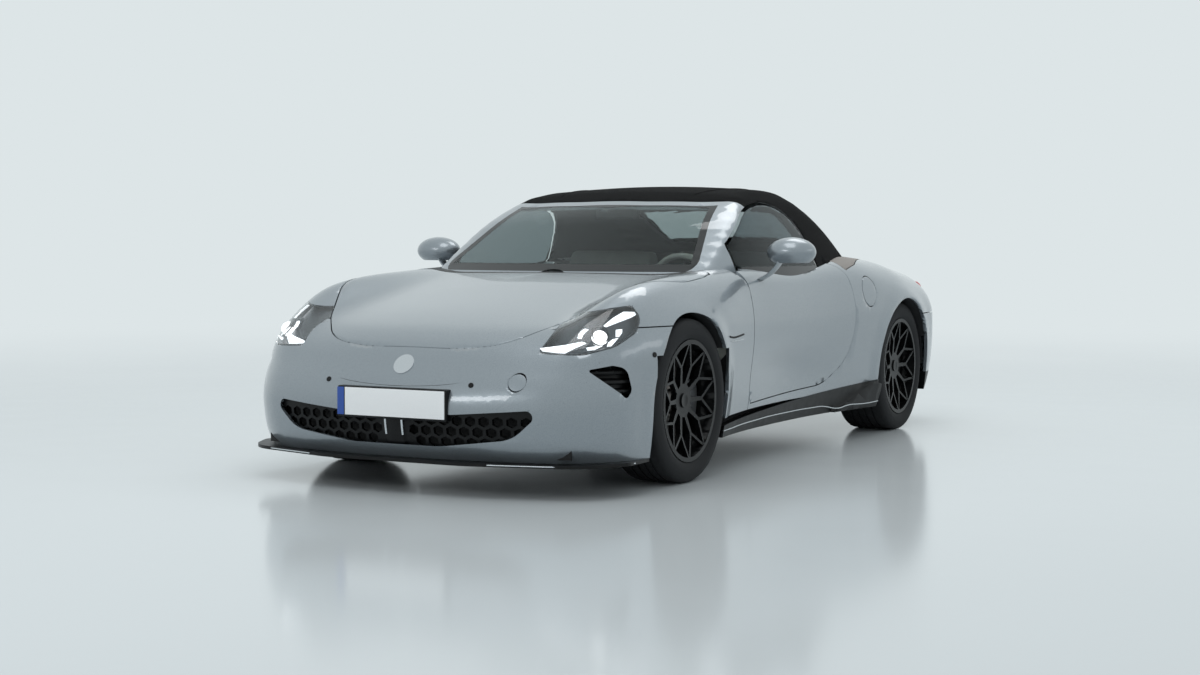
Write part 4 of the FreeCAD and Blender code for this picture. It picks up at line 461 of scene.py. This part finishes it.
def glass_with_border(name, tint, pieces_of_edge):
    """Tinted glass with a black fired border, where any of the given sums is over zero: the weights of the
    distance from the middle, of y and of z, and a shift."""
    made, tree, shader = start_material(name, Base_Color=tint, Roughness=.01, IOR=1.2, Transmission_Weight=1)
    spot = add_node(tree, "ShaderNodeTexCoord")
    parts = add_node(tree, "ShaderNodeSeparateXYZ", None, {"Vector": spot.outputs["Object"]})
    across = add_node(tree, "ShaderNodeMath", {"operation": "ABSOLUTE"}, {0: parts.outputs["X"]})
    folded = add_node(tree, "ShaderNodeCombineXYZ", None,
                      {"X": across.outputs[0], "Y": parts.outputs["Y"], "Z": parts.outputs["Z"]})
    total = None
    for *weights, shift in pieces_of_edge:
        dot = add_node(tree, "ShaderNodeVectorMath", {"operation": "DOT_PRODUCT", 1: weights},
                       {0: folded.outputs[0]})
        over = add_node(tree, "ShaderNodeMath", {"operation": "ADD", 1: shift}, {0: dot.outputs["Value"]})
        if total is None:
            total = over
        else:
            total = add_node(tree, "ShaderNodeMath", {"operation": "MAXIMUM"},
                             {0: total.outputs[0], 1: over.outputs[0]})
    edge = add_node(tree, "ShaderNodeMapRange", {"From Min": 0, "From Max": .003}, {"Value": total.outputs[0]})
    fired = add_node(tree, "ShaderNodeBsdfPrincipled", {"Base Color": linear("#0B0C0D"), "Roughness": .08})
    both = add_node(tree, "ShaderNodeMixShader", None,
                    {0: edge.outputs["Result"], 1: shader.outputs["BSDF"], 2: fired.outputs["BSDF"]})
    tree.links.new(both.outputs[0], tree.nodes["Material Output"].inputs["Surface"])
    return made


screen_edge = [(1, 0, .4477, -1.0583), (0, 0, -1, .928), (-.12, 1, 0, .405)]
door_edge = [(0, 0, -1, .917), (0, 1, 0, -.345)]
rear_edge = [(1, 0, 0, -.385), (0, 1, 0, -1.09), (0, -1, 0, .745)]
for pane, tint, edge in (("windscreen", "#CCD6D5", screen_edge), ("door_glass_left", "#7F8A8D", door_edge),
                         ("door_glass_right", "#7F8A8D", door_edge), ("rear_window", "#A9B3B4", rear_edge)):
    sheet = merged_copy(pane, "glass_" + pane)
    sheet.data.materials.append(glass_with_border("tinted_safety_glass_" + pane, tint, edge))


# Door mirrors
# A painted shell and foot, black underneath and round the mirror glass, which is set into its rear.

# Silvered glass: a hard mirror, faintly blue.
mirror_glass, tree, shader = start_material("silvered_mirror_glass", Base_Color="#C3CBD0", Metallic=1)
spot = add_node(tree, "ShaderNodeTexCoord")
film = add_node(tree, "ShaderNodeTexNoise", {"Scale": 40}, {"Vector": spot.outputs["Object"]})
soft = add_node(tree, "ShaderNodeMapRange", {"To Min": .01, "To Max": .05}, {"Value": film.outputs["Fac"]})
tree.links.new(soft.outputs["Result"], shader.inputs["Roughness"])
pane_across, pane_up, pane_sunk, pane_size = .992, .988, .003, (.094, .004, .052)
for side, hand in (("left", 1), ("right", -1)):
    shell = merged_copy("mirror_" + side, "painted_mirror_" + side, 40)
    shell.data.materials.append(lacquer)
    line_inside(shell, gloss_black, lambda place, normal: normal.z < -.9 or normal.y > .9)
    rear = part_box("mirror_" + side)[1].y
    bpy.ops.mesh.primitive_uv_sphere_add(segments=48, ring_count=24, radius=1, scale=pane_size,
                                         location=(hand * pane_across, rear - pane_sunk, pane_up))
    settle(bpy.context.object, "mirror_pane_" + side, mirror_glass, "door_" + side)


# Headlamps
# A clear lens over a dark reflector shell, with a round projector and bright light guides above and below it.

# Clear polycarbonate: moulded, hard-coated, with almost no tint.
clear_lens, tree, shader = start_material("clear_polycarbonate_lens", Base_Color="#F4F7F8", IOR=1.18,
                                          Transmission_Weight=1, Coat_Weight=.6, Coat_Roughness=.02)
spot = add_node(tree, "ShaderNodeTexCoord")
film = add_node(tree, "ShaderNodeTexNoise", {"Scale": 12}, {"Vector": spot.outputs["Object"]})
soft = add_node(tree, "ShaderNodeMapRange", {"To Min": 0, "To Max": .03}, {"Value": film.outputs["Fac"]})
tree.links.new(soft.outputs["Result"], shader.inputs["Roughness"])

# Dark vacuum-metallised shell: smoke-grey, half shiny, with fine flutes 2.5 mm apart.
flute_step = .0025133
smoked_metal, tree, shader = start_material("smoked_lamp_shell", Base_Color="#3F454A", Metallic=.35,
                                            Roughness=.35)
spot = add_node(tree, "ShaderNodeTexCoord")
flute = add_node(tree, "ShaderNodeTexWave", {"bands_direction": "Z", "Scale": one_wave / flute_step},
                 {"Vector": spot.outputs["Object"]})
bump = add_node(tree, "ShaderNodeBump", {"Strength": .5, "Distance": .0008}, {"Height": flute.outputs["Fac"]})
tree.links.new(bump.outputs["Normal"], shader.inputs["Normal"])

# Lit light guide: opal plastic glowing white, a little uneven along its length.
lit_guide, tree, shader = start_material("lit_opal_guide", Base_Color="#F5F8FA", Roughness=.3,
                                         Emission_Color="#F7FBFF", Emission_Strength=1.5)
spot = add_node(tree, "ShaderNodeTexCoord")
glow = add_node(tree, "ShaderNodeTexNoise", {"Scale": 30}, {"Vector": spot.outputs["Object"]})
level = add_node(tree, "ShaderNodeMapRange", {"To Min": .7, "To Max": 1.6}, {"Value": glow.outputs["Fac"]})
tree.links.new(level.outputs["Result"], shader.inputs["Emission Strength"])

# Projector glass: a thick round lens that glows at its middle.
lit_lens, tree, shader = start_material("lit_projector_glass", Base_Color="#DDE6EC", Roughness=.05,
                                        Coat_Weight=1, Emission_Color="#FFFFFF", Emission_Strength=2.2)
spot = add_node(tree, "ShaderNodeTexCoord")
ring = add_node(tree, "ShaderNodeTexNoise", {"Scale": 55}, {"Vector": spot.outputs["Object"]})
level = add_node(tree, "ShaderNodeMapRange", {"To Min": 1.4, "To Max": 2.8}, {"Value": ring.outputs["Fac"]})
tree.links.new(level.outputs["Result"], shader.inputs["Emission Strength"])


def lamp_piece(name, hand, corners, depth, thick):
    """Glowing plate of a given outline that lies a little under the lens and follows it."""
    side = "left" if hand > 0 else "right"
    places = [on_skin("headlamp_" + side, (hand * across, back, up), depth) for across, back, up in corners]
    outward = sum((out for place, out in places), Vector()).normalized()
    bpy.ops.mesh.primitive_circle_add(vertices=len(corners), radius=1, fill_type="NGON")
    plate = bpy.context.object
    only(plate)
    bpy.ops.object.mode_set(mode="EDIT")
    mesh = bmesh.from_edit_mesh(plate.data)
    mesh.verts.ensure_lookup_table()
    for corner, (place, out) in zip(mesh.verts, places):
        corner.co = place
    bmesh.update_edit_mesh(plate.data)
    bpy.ops.mesh.select_all(action="SELECT")
    bpy.ops.mesh.extrude_region_move(TRANSFORM_OT_translate={"value": outward * -thick})
    bpy.ops.object.mode_set(mode="OBJECT")
    refine(plate, "BEVEL", width=.0008, segments=2)
    return settle(plate, name, lit_guide, "body")


# Outlines of the lit pieces on the left lens: a wedge along the lower edge, a crescent beside the projector, a
# long wedge under the upper rear edge, two small blocks behind the projector and a thin wedge below it.
lit_shapes = {
    "wedge_low": ((.577, -2.077, .588), (.583, -2.068, .594), (.609, -2.058, .606), (.678, -2.033, .621),
                  (.738, -2.001, .634), (.755, -1.997, .628), (.723, -2.030, .611), (.689, -2.063, .588)),
    "crescent": ((.712, -1.994, .649), (.707, -1.976, .665), (.711, -1.958, .677), (.719, -1.946, .685),
                 (.736, -1.944, .683), (.729, -1.961, .672), (.727, -1.977, .660), (.729, -1.990, .648)),
    "wedge_high": ((.782, -1.896, .697), (.794, -1.841, .725), (.811, -1.776, .750), (.838, -1.726, .748),
                   (.854, -1.720, .738), (.842, -1.765, .727), (.808, -1.863, .702), (.794, -1.892, .692)),
    "block_rear": ((.827, -1.870, .679), (.842, -1.844, .680), (.847, -1.854, .667), (.847, -1.876, .652),
                   (.838, -1.891, .652)),
    "block_low": ((.827, -1.946, .614), (.826, -1.934, .629), (.832, -1.911, .641), (.847, -1.884, .647),
                  (.845, -1.900, .636), (.839, -1.930, .615)),
    "wedge_thin": ((.763, -2.009, .610), (.812, -1.964, .611), (.794, -1.992, .602), (.771, -2.013, .600)),
}

guide_under, guide_thick = .009, .005
projector_under, projector_radius, ring_radius = .020, .033, .037
lining_under, lining_scale = .034, .95
for side, hand in (("left", 1), ("right", -1)):
    lens = merged_copy("headlamp_" + side, "lens_headlamp_" + side)
    lens.data.materials.append(clear_lens)
    bowl = merged_copy("lamp_housing_" + side, "reflector_housing_" + side)
    bowl.data.materials.append(smoked_metal)
    middle, outward = on_skin("headlamp_" + side, (hand * .792, -1.945, .652), projector_under)
    lining = bpy.data.objects.new("reflector_lining_" + side, frame["nodes"]["headlamp_" + side].data.copy())
    bpy.context.scene.collection.objects.link(lining)
    low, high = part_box("headlamp_" + side)
    heart = (low + high) / 2
    lining.matrix_world = (Matrix.Translation(heart - outward * lining_under) @ Matrix.Scale(lining_scale, 4)
                           @ Matrix.Translation(-heart))
    settle(lining, "reflector_lining_" + side, smoked_metal, "body")
    bpy.ops.mesh.primitive_uv_sphere_add(segments=40, ring_count=20, radius=projector_radius, location=middle)
    settle(bpy.context.object, "projector_" + side, lit_lens, "body")
    bpy.ops.mesh.primitive_torus_add(major_radius=ring_radius, minor_radius=.003, major_segments=48,
                                     minor_segments=10, location=middle + outward * .002,
                                     rotation=outward.to_track_quat("Z", "Y").to_euler())
    settle(bpy.context.object, "projector_ring_" + side, smoked_metal, "body")
    for shape, corners in lit_shapes.items():
        lamp_piece("lit_%s_%s" % (shape, side), hand, corners, guide_under, guide_thick)


# Tail lamps
# A slim red lens that runs across the car's tail and glows faintly.

# Red acrylic: deep and glossy, faintly ribbed inside every 1.9 mm.
rib_step = .00188496
red_lens, tree, shader = start_material("red_acrylic_lens", Base_Color="#7A090D", Roughness=.08, Coat_Weight=.6,
                                        Emission_Color="#FF1A12", Emission_Strength=.25)
spot = add_node(tree, "ShaderNodeTexCoord")
rib = add_node(tree, "ShaderNodeTexWave", {"Scale": one_wave / rib_step}, {"Vector": spot.outputs["Object"]})
bump = add_node(tree, "ShaderNodeBump", {"Strength": .25, "Distance": .0006}, {"Height": rib.outputs["Fac"]})
tree.links.new(bump.outputs["Normal"], shader.inputs["Normal"])
tail = merged_copy("tail_lamp", "lens_tail_lamp")
tail.data.materials.append(red_lens)


# Round fittings on the nose
# A plain metal disc where a badge sits, parking sensors, and the round cover of the tow eye's thread.

cap_proud = .0035
before_nose = -2.4


def select_top(piece):
    """Selects only the faces of an upright piece that look up, in edit mode."""
    bpy.ops.mesh.select_all(action="DESELECT")
    mesh = bmesh.from_edit_mesh(piece.data)
    for face in mesh.faces:
        face.select_set(face.normal.z > .9)
    bmesh.update_edit_mesh(piece.data)


def round_cap(name, node, point, radius, depth, rim, dish, finish):
    """Round cap on a panel: a disc whose face is inset by its rim and sunk by its dish."""
    place, outward = on_skin(node, point, depth / 2 - cap_proud)
    bpy.ops.mesh.primitive_cylinder_add(vertices=64, radius=radius, depth=depth, location=place,
                                        rotation=outward.to_track_quat("Z", "Y").to_euler())
    cap = bpy.context.object
    only(cap)
    bpy.ops.object.mode_set(mode="EDIT")
    select_top(cap)
    bpy.ops.mesh.inset(thickness=rim)
    bpy.ops.transform.translate(value=outward * -dish)
    bpy.ops.mesh.inset(thickness=rim * .6)
    bpy.ops.object.mode_set(mode="OBJECT")
    refine(cap, "BEVEL", width=min(.001, rim * .3), segments=2, limit_method="ANGLE")
    return settle(cap, name, finish, body_of(node))


round_cap("nose_disc", "front_bumper", (0, -2.180, .524), .047, .008, .006, .0016, bright_trim)
for side, hand in (("left", 1), ("right", -1)):
    for number, (across, back, up) in enumerate(((.929, -1.736, .568), (.351, -2.220, .452))):
        round_cap("park_sensor_%s_%d" % (side, number + 1), "front_bumper", (hand * across, back, up),
                  .011, .006, .002, .0006, gloss_black)

# A dark line of painted shade runs along the bumper's crease from intake to intake, and a black slit with a
# bright lower lip vents each wing.
crease_shade_line = ((.820, -2.000, .546), (.694, -2.102, .527), (.533, -2.142, .504), (.403, -2.196, .478),
          (.277, -2.223, .455), (.165, -2.235, .443))
whole = list(crease_shade_line) + [(0, -2.240, .437)] + [(-across, back, up) for across, back, up in crease_shade_line[::-1]]
crease_shade_width, vent_width = .003, .009
# Painted shade: a thin dark bead along the crease stands in for the crease's shadow line.
bead("bumper_crease_painted_shade", [on_skin("front_bumper", place, .0006)[0] for place in whole], crease_shade_width, seal_rubber_and_shade_line,
     "body")
for side, hand in (("left", 1), ("right", -1)):
    slit = [on_skin("front_wing_" + side, (hand * across, back, up))[0]
            for across, back, up in ((.927, -.985, .611), (.922, -.935, .603), (.914, -.865, .606),
                                     (.906, -.790, .613))]
    bead("wing_vent_" + side, slit, vent_width, seal_rubber_and_shade_line, "body")
    lip = [on_skin("front_wing_" + side, (hand * across, back, up))[0]
           for across, back, up in ((.924, -.970, .590), (.916, -.880, .586), (.907, -.795, .591))]
    bead("wing_vent_lip_" + side, lip, strip_width, bright_trim, "body")

# The tow cover is a disc of painted plastic with a rounded edge that fills the round hole, with a 1 mm joint
# about it and a rubber seal behind. Its place and tilt are the mean of the skin on a ring just outside the hole.
tow_middle, tow_ring, ring_points = Vector((.543, before_nose, .467)), .045, 12
around = []
for step in range(ring_points):
    turn = math.tau * step / ring_points
    start = tow_middle + tow_ring * Vector((math.cos(turn), 0, math.sin(turn)))
    around.append(search_tree("front_bumper").ray_cast(start, Vector((0, 1, 0)))[:2])
tow_at = sum((place for place, out in around), Vector()) / ring_points
tow_out = sum((out for place, out in around), Vector()).normalized()
tow_turn = tow_out.to_track_quat("Z", "Y").to_euler()
cover_radius, cover_thick, cover_sunk = .0374, .010, .0035
seal_radius, seal_thick, seal_sunk = .041, .004, .0135
bpy.ops.mesh.primitive_cylinder_add(vertices=64, radius=cover_radius, depth=cover_thick,
                                    location=tow_at - tow_out * cover_sunk, rotation=tow_turn)
cap = bpy.context.object
only(cap)
refine(cap, "BEVEL", width=.0012, segments=3, limit_method="ANGLE")
settle(cap, "tow_cover", lacquer, "body")
bpy.ops.mesh.primitive_cylinder_add(vertices=48, radius=seal_radius, depth=seal_thick,
                                    location=tow_at - tow_out * seal_sunk, rotation=tow_turn)
settle(bpy.context.object, "tow_cover_seal", seal_rubber_and_shade_line, "body")


# Number plate
# A blank pressed plate in a black holder, screwed to the bumper over the grille's centre.

# Reflective plate sheet: white enamel-like film with a fine honeycomb of cells 3 mm across.
cell_width = .003
plate_film, tree, shader = start_material("reflective_plate_film", Roughness=.3)
spot = add_node(tree, "ShaderNodeTexCoord")
cells = add_node(tree, "ShaderNodeTexVoronoi", {"Scale": 1 / cell_width}, {"Vector": spot.outputs["Object"]})
tint = add_node(tree, "ShaderNodeMix", {"data_type": "RGBA"}, {0: cells.outputs["Distance"]})
tint.inputs[6].default_value = linear("#E9EBEC")
tint.inputs[7].default_value = linear("#F4F5F5")
tree.links.new(tint.outputs[2], shader.inputs["Base Color"])
# Blue printed band at the plate's end, under the same film.
blue_band, tree, shader = start_material("blue_plate_film", Base_Color="#2A4F9E", Roughness=.3)
spot = add_node(tree, "ShaderNodeTexCoord")
cells = add_node(tree, "ShaderNodeTexVoronoi", {"Scale": 1 / cell_width}, {"Vector": spot.outputs["Object"]})
soft = add_node(tree, "ShaderNodeMapRange", {"To Min": .26, "To Max": .36}, {"Value": cells.outputs["Distance"]})
tree.links.new(soft.outputs["Result"], shader.inputs["Roughness"])


def plate_block(name, centre, size, finish, corner):
    """Flat block with rounded corners."""
    bpy.ops.mesh.primitive_cube_add(size=1, location=centre, scale=size)
    block = bpy.context.object
    only(block)
    bpy.ops.object.transform_apply(location=True, rotation=True, scale=True)
    refine(block, "BEVEL", width=corner, segments=4)
    return settle(block, name, finish, "body")


holder_up, holder_size, holder_corner = .368, (.534, .054, .130), .005
film_up, film_proud, film_thick, film_tall, film_corner = .370, .0095, .003, .114, .0012
plate_y = on_skin("front_bumper", (0, before_nose, .43))[0].y - .002
plate_block("plate_holder", (0, plate_y + .018, holder_up), holder_size, gloss_black,
            holder_corner)
for name, across, wide, finish in (("plate_blank", .012, .494, plate_film),
                                   ("plate_band", -.248, .040, blue_band)):
    plate_block(name, (across, plate_y - film_proud, film_up), (wide, film_thick, film_tall), finish,
                film_corner)


# Wheels
# Low-profile tyres with four round grooves on split-spoke cast wheels in gloss black whose edges are turned
# bright, bright enough to paint the highlight lines along them too. Behind them are turned iron discs.

# Tyre rubber: carbon black, matt, with moulded rings 6 mm apart on the sidewall and cross sipes on the tread.
def tyre_rubber(name, centre):
    """Rubber whose moulded pattern is centred on one wheel."""
    sipes, sipe_slant, sipe_share = 78, 12, .14
    tread_start, ring_step, ring_relief = .336, .006, .06
    made, tree, shader = start_material(name, Base_Color="#1B1C1E", Roughness=.78, Specular_IOR_Level=.35)
    spot = add_node(tree, "ShaderNodeTexCoord")
    moved = add_node(tree, "ShaderNodeVectorMath", {"operation": "SUBTRACT", 1: centre},
                     {0: spot.outputs["Object"]})
    parts = add_node(tree, "ShaderNodeSeparateXYZ", None, {"Vector": moved.outputs[0]})
    flat = add_node(tree, "ShaderNodeCombineXYZ", None, {"X": parts.outputs["Y"], "Y": parts.outputs["Z"]})
    radius = add_node(tree, "ShaderNodeVectorMath", {"operation": "LENGTH"}, {0: flat.outputs[0]})
    turn = add_node(tree, "ShaderNodeTexGradient", {"gradient_type": "RADIAL"}, {"Vector": flat.outputs[0]})
    across = add_node(tree, "ShaderNodeMath", {"operation": "MULTIPLY", 1: sipe_slant}, {0: parts.outputs["X"]})
    sweep = add_node(tree, "ShaderNodeMath", {"operation": "MULTIPLY_ADD", 1: sipes},
                     {0: turn.outputs["Fac"], 2: across.outputs[0]})
    sipe = add_node(tree, "ShaderNodeMath", {"operation": "FRACT"}, {0: sweep.outputs[0]})
    cut = add_node(tree, "ShaderNodeMath", {"operation": "GREATER_THAN", 1: sipe_share}, {0: sipe.outputs[0]})
    tread = add_node(tree, "ShaderNodeMath", {"operation": "GREATER_THAN", 1: tread_start},
                     {0: radius.outputs["Value"]})
    scaled = add_node(tree, "ShaderNodeMath", {"operation": "MULTIPLY", 1: math.tau / ring_step},
                      {0: radius.outputs["Value"]})
    rings = add_node(tree, "ShaderNodeMath", {"operation": "SINE"}, {0: scaled.outputs[0]})
    gentle = add_node(tree, "ShaderNodeMath", {"operation": "MULTIPLY", 1: ring_relief}, {0: rings.outputs[0]})
    relief = add_node(tree, "ShaderNodeMix", {"data_type": "FLOAT"},
                      {0: tread.outputs[0], 2: gentle.outputs[0], 3: cut.outputs[0]})
    bump = add_node(tree, "ShaderNodeBump", {"Strength": .8, "Distance": .004}, {"Height": relief.outputs[0]})
    tree.links.new(bump.outputs["Normal"], shader.inputs["Normal"])
    return made


# Painted cast alloy: gloss black under lacquer, with faint orange peel 3 mm across.
peel_width = .003
wheel_black, tree, shader = start_material("gloss_black_alloy", Base_Color="#08090A", Roughness=.4,
                                           Specular_IOR_Level=.22, Coat_Weight=.15, Coat_Roughness=.05)
spot = add_node(tree, "ShaderNodeTexCoord")
peel = add_node(tree, "ShaderNodeTexNoise", {"Scale": 1 / peel_width}, {"Vector": spot.outputs["Object"]})
bump = add_node(tree, "ShaderNodeBump", {"Strength": .05, "Distance": .0003}, {"Height": peel.outputs["Fac"]})
tree.links.new(bump.outputs["Normal"], shader.inputs["Normal"])

# Turned alloy: the bare cut edge of the casting, bright enough to also paint the highlight lines along the
# spokes' edges, with lathe marks 0.2 mm apart drawn at 1 mm.
lathe_step = .001
turned_edge_and_highlight, tree, shader = start_material("turned_edge_and_painted_highlight", Base_Color="#B9BDC1", Metallic=1)
spot = add_node(tree, "ShaderNodeTexCoord")
lathe = add_node(tree, "ShaderNodeTexNoise", {"Scale": 1 / lathe_step}, {"Vector": spot.outputs["Object"]})
soft = add_node(tree, "ShaderNodeMapRange", {"To Min": .16, "To Max": .34}, {"Value": lathe.outputs["Fac"]})
tree.links.new(soft.outputs["Result"], shader.inputs["Roughness"])

# Turned grey iron: brake disc swept clean by the pads, with a cloudy brown tint of old rust.
turned_iron, tree, shader = start_material("turned_brake_iron", Metallic=.9, Roughness=.38)
spot = add_node(tree, "ShaderNodeTexCoord")
rust = add_node(tree, "ShaderNodeTexNoise", {"Scale": 18, "Detail": 5}, {"Vector": spot.outputs["Object"]})
tint = add_node(tree, "ShaderNodeMix", {"data_type": "RGBA"}, {0: rust.outputs["Fac"]})
tint.inputs[6].default_value = linear("#7C7A78")
tint.inputs[7].default_value = linear("#66615D")
tree.links.new(tint.outputs[2], shader.inputs["Base Color"])

# The tyre's section starts at the bead seat and runs out over the sidewall to the shoulder, over the grooves and
# back down the other side.
bead_seat, bead_inset = .247, .030
groove_depth, groove_half_floor, groove_half_top, shoulder = .007, .0040, .0050, .026
hub_cap_radius, hub_cap_thick, hub_cap_sunk = .031, .012, .0335
for corner in ("front_left", "front_right", "rear_left", "rear_right"):
    low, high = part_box("tyre_" + corner)
    centre = (low + high) / 2
    hand = 1 if centre.x > 0 else -1
    half = (high.x - low.x) / 2
    outer = (high.z - low.z) / 2
    side_wall = [(-half + .017, .2506), (-half + .0165, .2625), (-half + .008, .270), (-half + .0015, .290),
                 (-half, .305), (-half + .003, .322), (-half + .010, outer - .010), (-half + .019, outer - .003),
                 (-half + .030, outer - .0006)]
    profile = list(side_wall)
    for groove in (-.56, -.19, .19, .56):
        place = groove * (half - shoulder)
        profile += [(place - groove_half_top, outer), (place - groove_half_floor, outer - groove_depth),
                    (place + groove_half_floor, outer - groove_depth), (place + groove_half_top, outer)]
    profile += [(-across, up) for across, up in side_wall[::-1]]
    profile += [(half - bead_inset, bead_seat), (-half + bead_inset, bead_seat)]
    mesh = bpy.data.meshes.new("tyre_ring_" + corner)
    mesh.from_pydata([(centre.x + across, centre.y, centre.z + up) for across, up in profile],
                     [(step, (step + 1) % len(profile)) for step in range(len(profile))], [])
    ring = bpy.data.objects.new("tyre_ring_" + corner, mesh)
    bpy.context.scene.collection.objects.link(ring)
    only(ring)
    bpy.ops.object.mode_set(mode="EDIT")
    bpy.ops.mesh.select_all(action="SELECT")
    bpy.ops.mesh.spin(steps=128, angle=math.tau, center=centre, axis=(1, 0, 0))
    bpy.ops.mesh.select_all(action="SELECT")
    bpy.ops.mesh.remove_doubles(threshold=.0001)
    bpy.ops.object.mode_set(mode="OBJECT")
    rubber = tyre_rubber("tyre_rubber_" + corner, centre)
    settle(ring, "tyre_ring_" + corner, rubber, "wheel_" + corner, 40)
    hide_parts("tyre_" + corner)
    rim = merged_copy("rim_" + corner, "alloy_rim_" + corner, 30)
    rim.data.materials.append(wheel_black)
    rim.data.materials.append(turned_edge_and_highlight)
    only(rim)
    bpy.ops.object.mode_set(mode="EDIT")
    bpy.ops.mesh.select_all(action="SELECT")
    bpy.ops.mesh.dissolve_limited(angle_limit=math.radians(1))
    bpy.ops.object.mode_set(mode="OBJECT")
    # The bright bevel along each spoke's edge is turned alloy and also a painted highlight line.
    refine(rim, "BEVEL", width=.0022, segments=1, limit_method="ANGLE", angle_limit=math.radians(50),
           material=1, use_clamp_overlap=True)
    bpy.ops.object.shade_smooth_by_angle(angle=math.radians(30))
    disc = merged_copy("brake_disc_" + corner, "turned_brake_disc_" + corner, 30)
    disc.data.materials.append(turned_iron)
    inner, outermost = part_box("rim_" + corner)
    face_x = centre.x + hand * (outermost.x - inner.x) / 2
    bpy.ops.mesh.primitive_cylinder_add(vertices=48, radius=hub_cap_radius, depth=hub_cap_thick,
                                        location=(face_x - hand * hub_cap_sunk, centre.y, centre.z),
                                        rotation=(0, math.radians(90) * hand, 0))
    cap = bpy.context.object
    only(cap)
    bpy.ops.object.mode_set(mode="EDIT")
    select_top(cap)
    bpy.ops.mesh.inset(thickness=.004)
    bpy.ops.mesh.inset(thickness=.006, depth=-.002)
    bpy.ops.object.mode_set(mode="OBJECT")
    settle(cap, "hub_cap_" + corner, wheel_black, "wheel_" + corner)


# Cabin
# Two padded seats in light grey leather, a leather-bound steering wheel, a grained dashboard and a console.

# Nappa leather: light warm grey, semi-matt, with a pebble grain 1 mm across and slightly worn colour.
pebble_width = .001
seat_hide, tree, shader = start_material("light_grey_leather", Roughness=.5, Coat_Weight=.1)
spot = add_node(tree, "ShaderNodeTexCoord")
wear = add_node(tree, "ShaderNodeTexNoise", {"Scale": 9, "Detail": 4}, {"Vector": spot.outputs["Object"]})
tint = add_node(tree, "ShaderNodeMix", {"data_type": "RGBA"}, {0: wear.outputs["Fac"]})
tint.inputs[6].default_value = linear("#B4AFA9")
tint.inputs[7].default_value = linear("#C6C2BC")
tree.links.new(tint.outputs[2], shader.inputs["Base Color"])
pebble = add_node(tree, "ShaderNodeTexVoronoi", {"Scale": 1 / pebble_width}, {"Vector": spot.outputs["Object"]})
bump = add_node(tree, "ShaderNodeBump", {"Strength": .25, "Distance": .0003},
                {"Height": pebble.outputs["Distance"]})
tree.links.new(bump.outputs["Normal"], shader.inputs["Normal"])

for side in ("left", "right"):
    pad = merged_copy("seat_" + side, "padded_seat_" + side)
    only(pad)
    refine(pad, "REMESH", mode="VOXEL", voxel_size=.012)
    refine(pad, "SMOOTH", iterations=14, factor=.5)
    bpy.ops.object.shade_smooth_by_angle(angle=math.radians(70))
    pad.data.materials.clear()
    pad.data.materials.append(seat_hide)

for node, name, finish, slot_name in (("steering_wheel", "steering_wheel_leather", seat_hide, "seat_trim"),
                                      ("dashboard", "dashboard_moulding", cabin_plastic, "cabin_trim"),
                                      ("centre_console", "centre_console_moulding", cabin_plastic, "cabin_trim"),
                                      ("cabin_mirror", "cabin_mirror_shell", cabin_plastic, "cabin_trim")):
    part = merged_copy(node, name)
    part.data.materials.append(finish)


# Underbody
# The aluminium tub under a satin black stone-chip coat, cast knuckles and arms, and the plain drive units.

# Stone-chip coat: sprayed rubbery black with a coarse pebbled surface, 3 mm across.
chip_width = .003
chip_coat, tree, shader = start_material("stone_chip_coat", Base_Color="#191A1C", Roughness=.7)
spot = add_node(tree, "ShaderNodeTexCoord")
pebble = add_node(tree, "ShaderNodeTexNoise", {"Scale": 1 / chip_width, "Detail": 3},
                  {"Vector": spot.outputs["Object"]})
bump = add_node(tree, "ShaderNodeBump", {"Strength": .3, "Distance": .001}, {"Height": pebble.outputs["Fac"]})
tree.links.new(bump.outputs["Normal"], shader.inputs["Normal"])

# Sand-cast aluminium: dull grey with a sandy skin, its grains 1 mm across.
sand_width = .001
sand_cast, tree, shader = start_material("sand_cast_aluminium", Base_Color="#85878A", Metallic=.9, Roughness=.5)
spot = add_node(tree, "ShaderNodeTexCoord")
sand = add_node(tree, "ShaderNodeTexNoise", {"Scale": 1 / sand_width}, {"Vector": spot.outputs["Object"]})
bump = add_node(tree, "ShaderNodeBump", {"Strength": .2, "Distance": .0004}, {"Height": sand.outputs["Fac"]})
tree.links.new(bump.outputs["Normal"], shader.inputs["Normal"])

for node in ("floor_tub", "front_suspension", "rear_suspension", "knuckle_left", "knuckle_right", "battery_pack",
             "front_drive_unit", "rear_drive_unit"):
    thing = frame["nodes"][node]
    thing.data.materials.clear()
    thing.data.materials.append(chip_coat if node == "floor_tub" or node.endswith("suspension") else sand_cast)
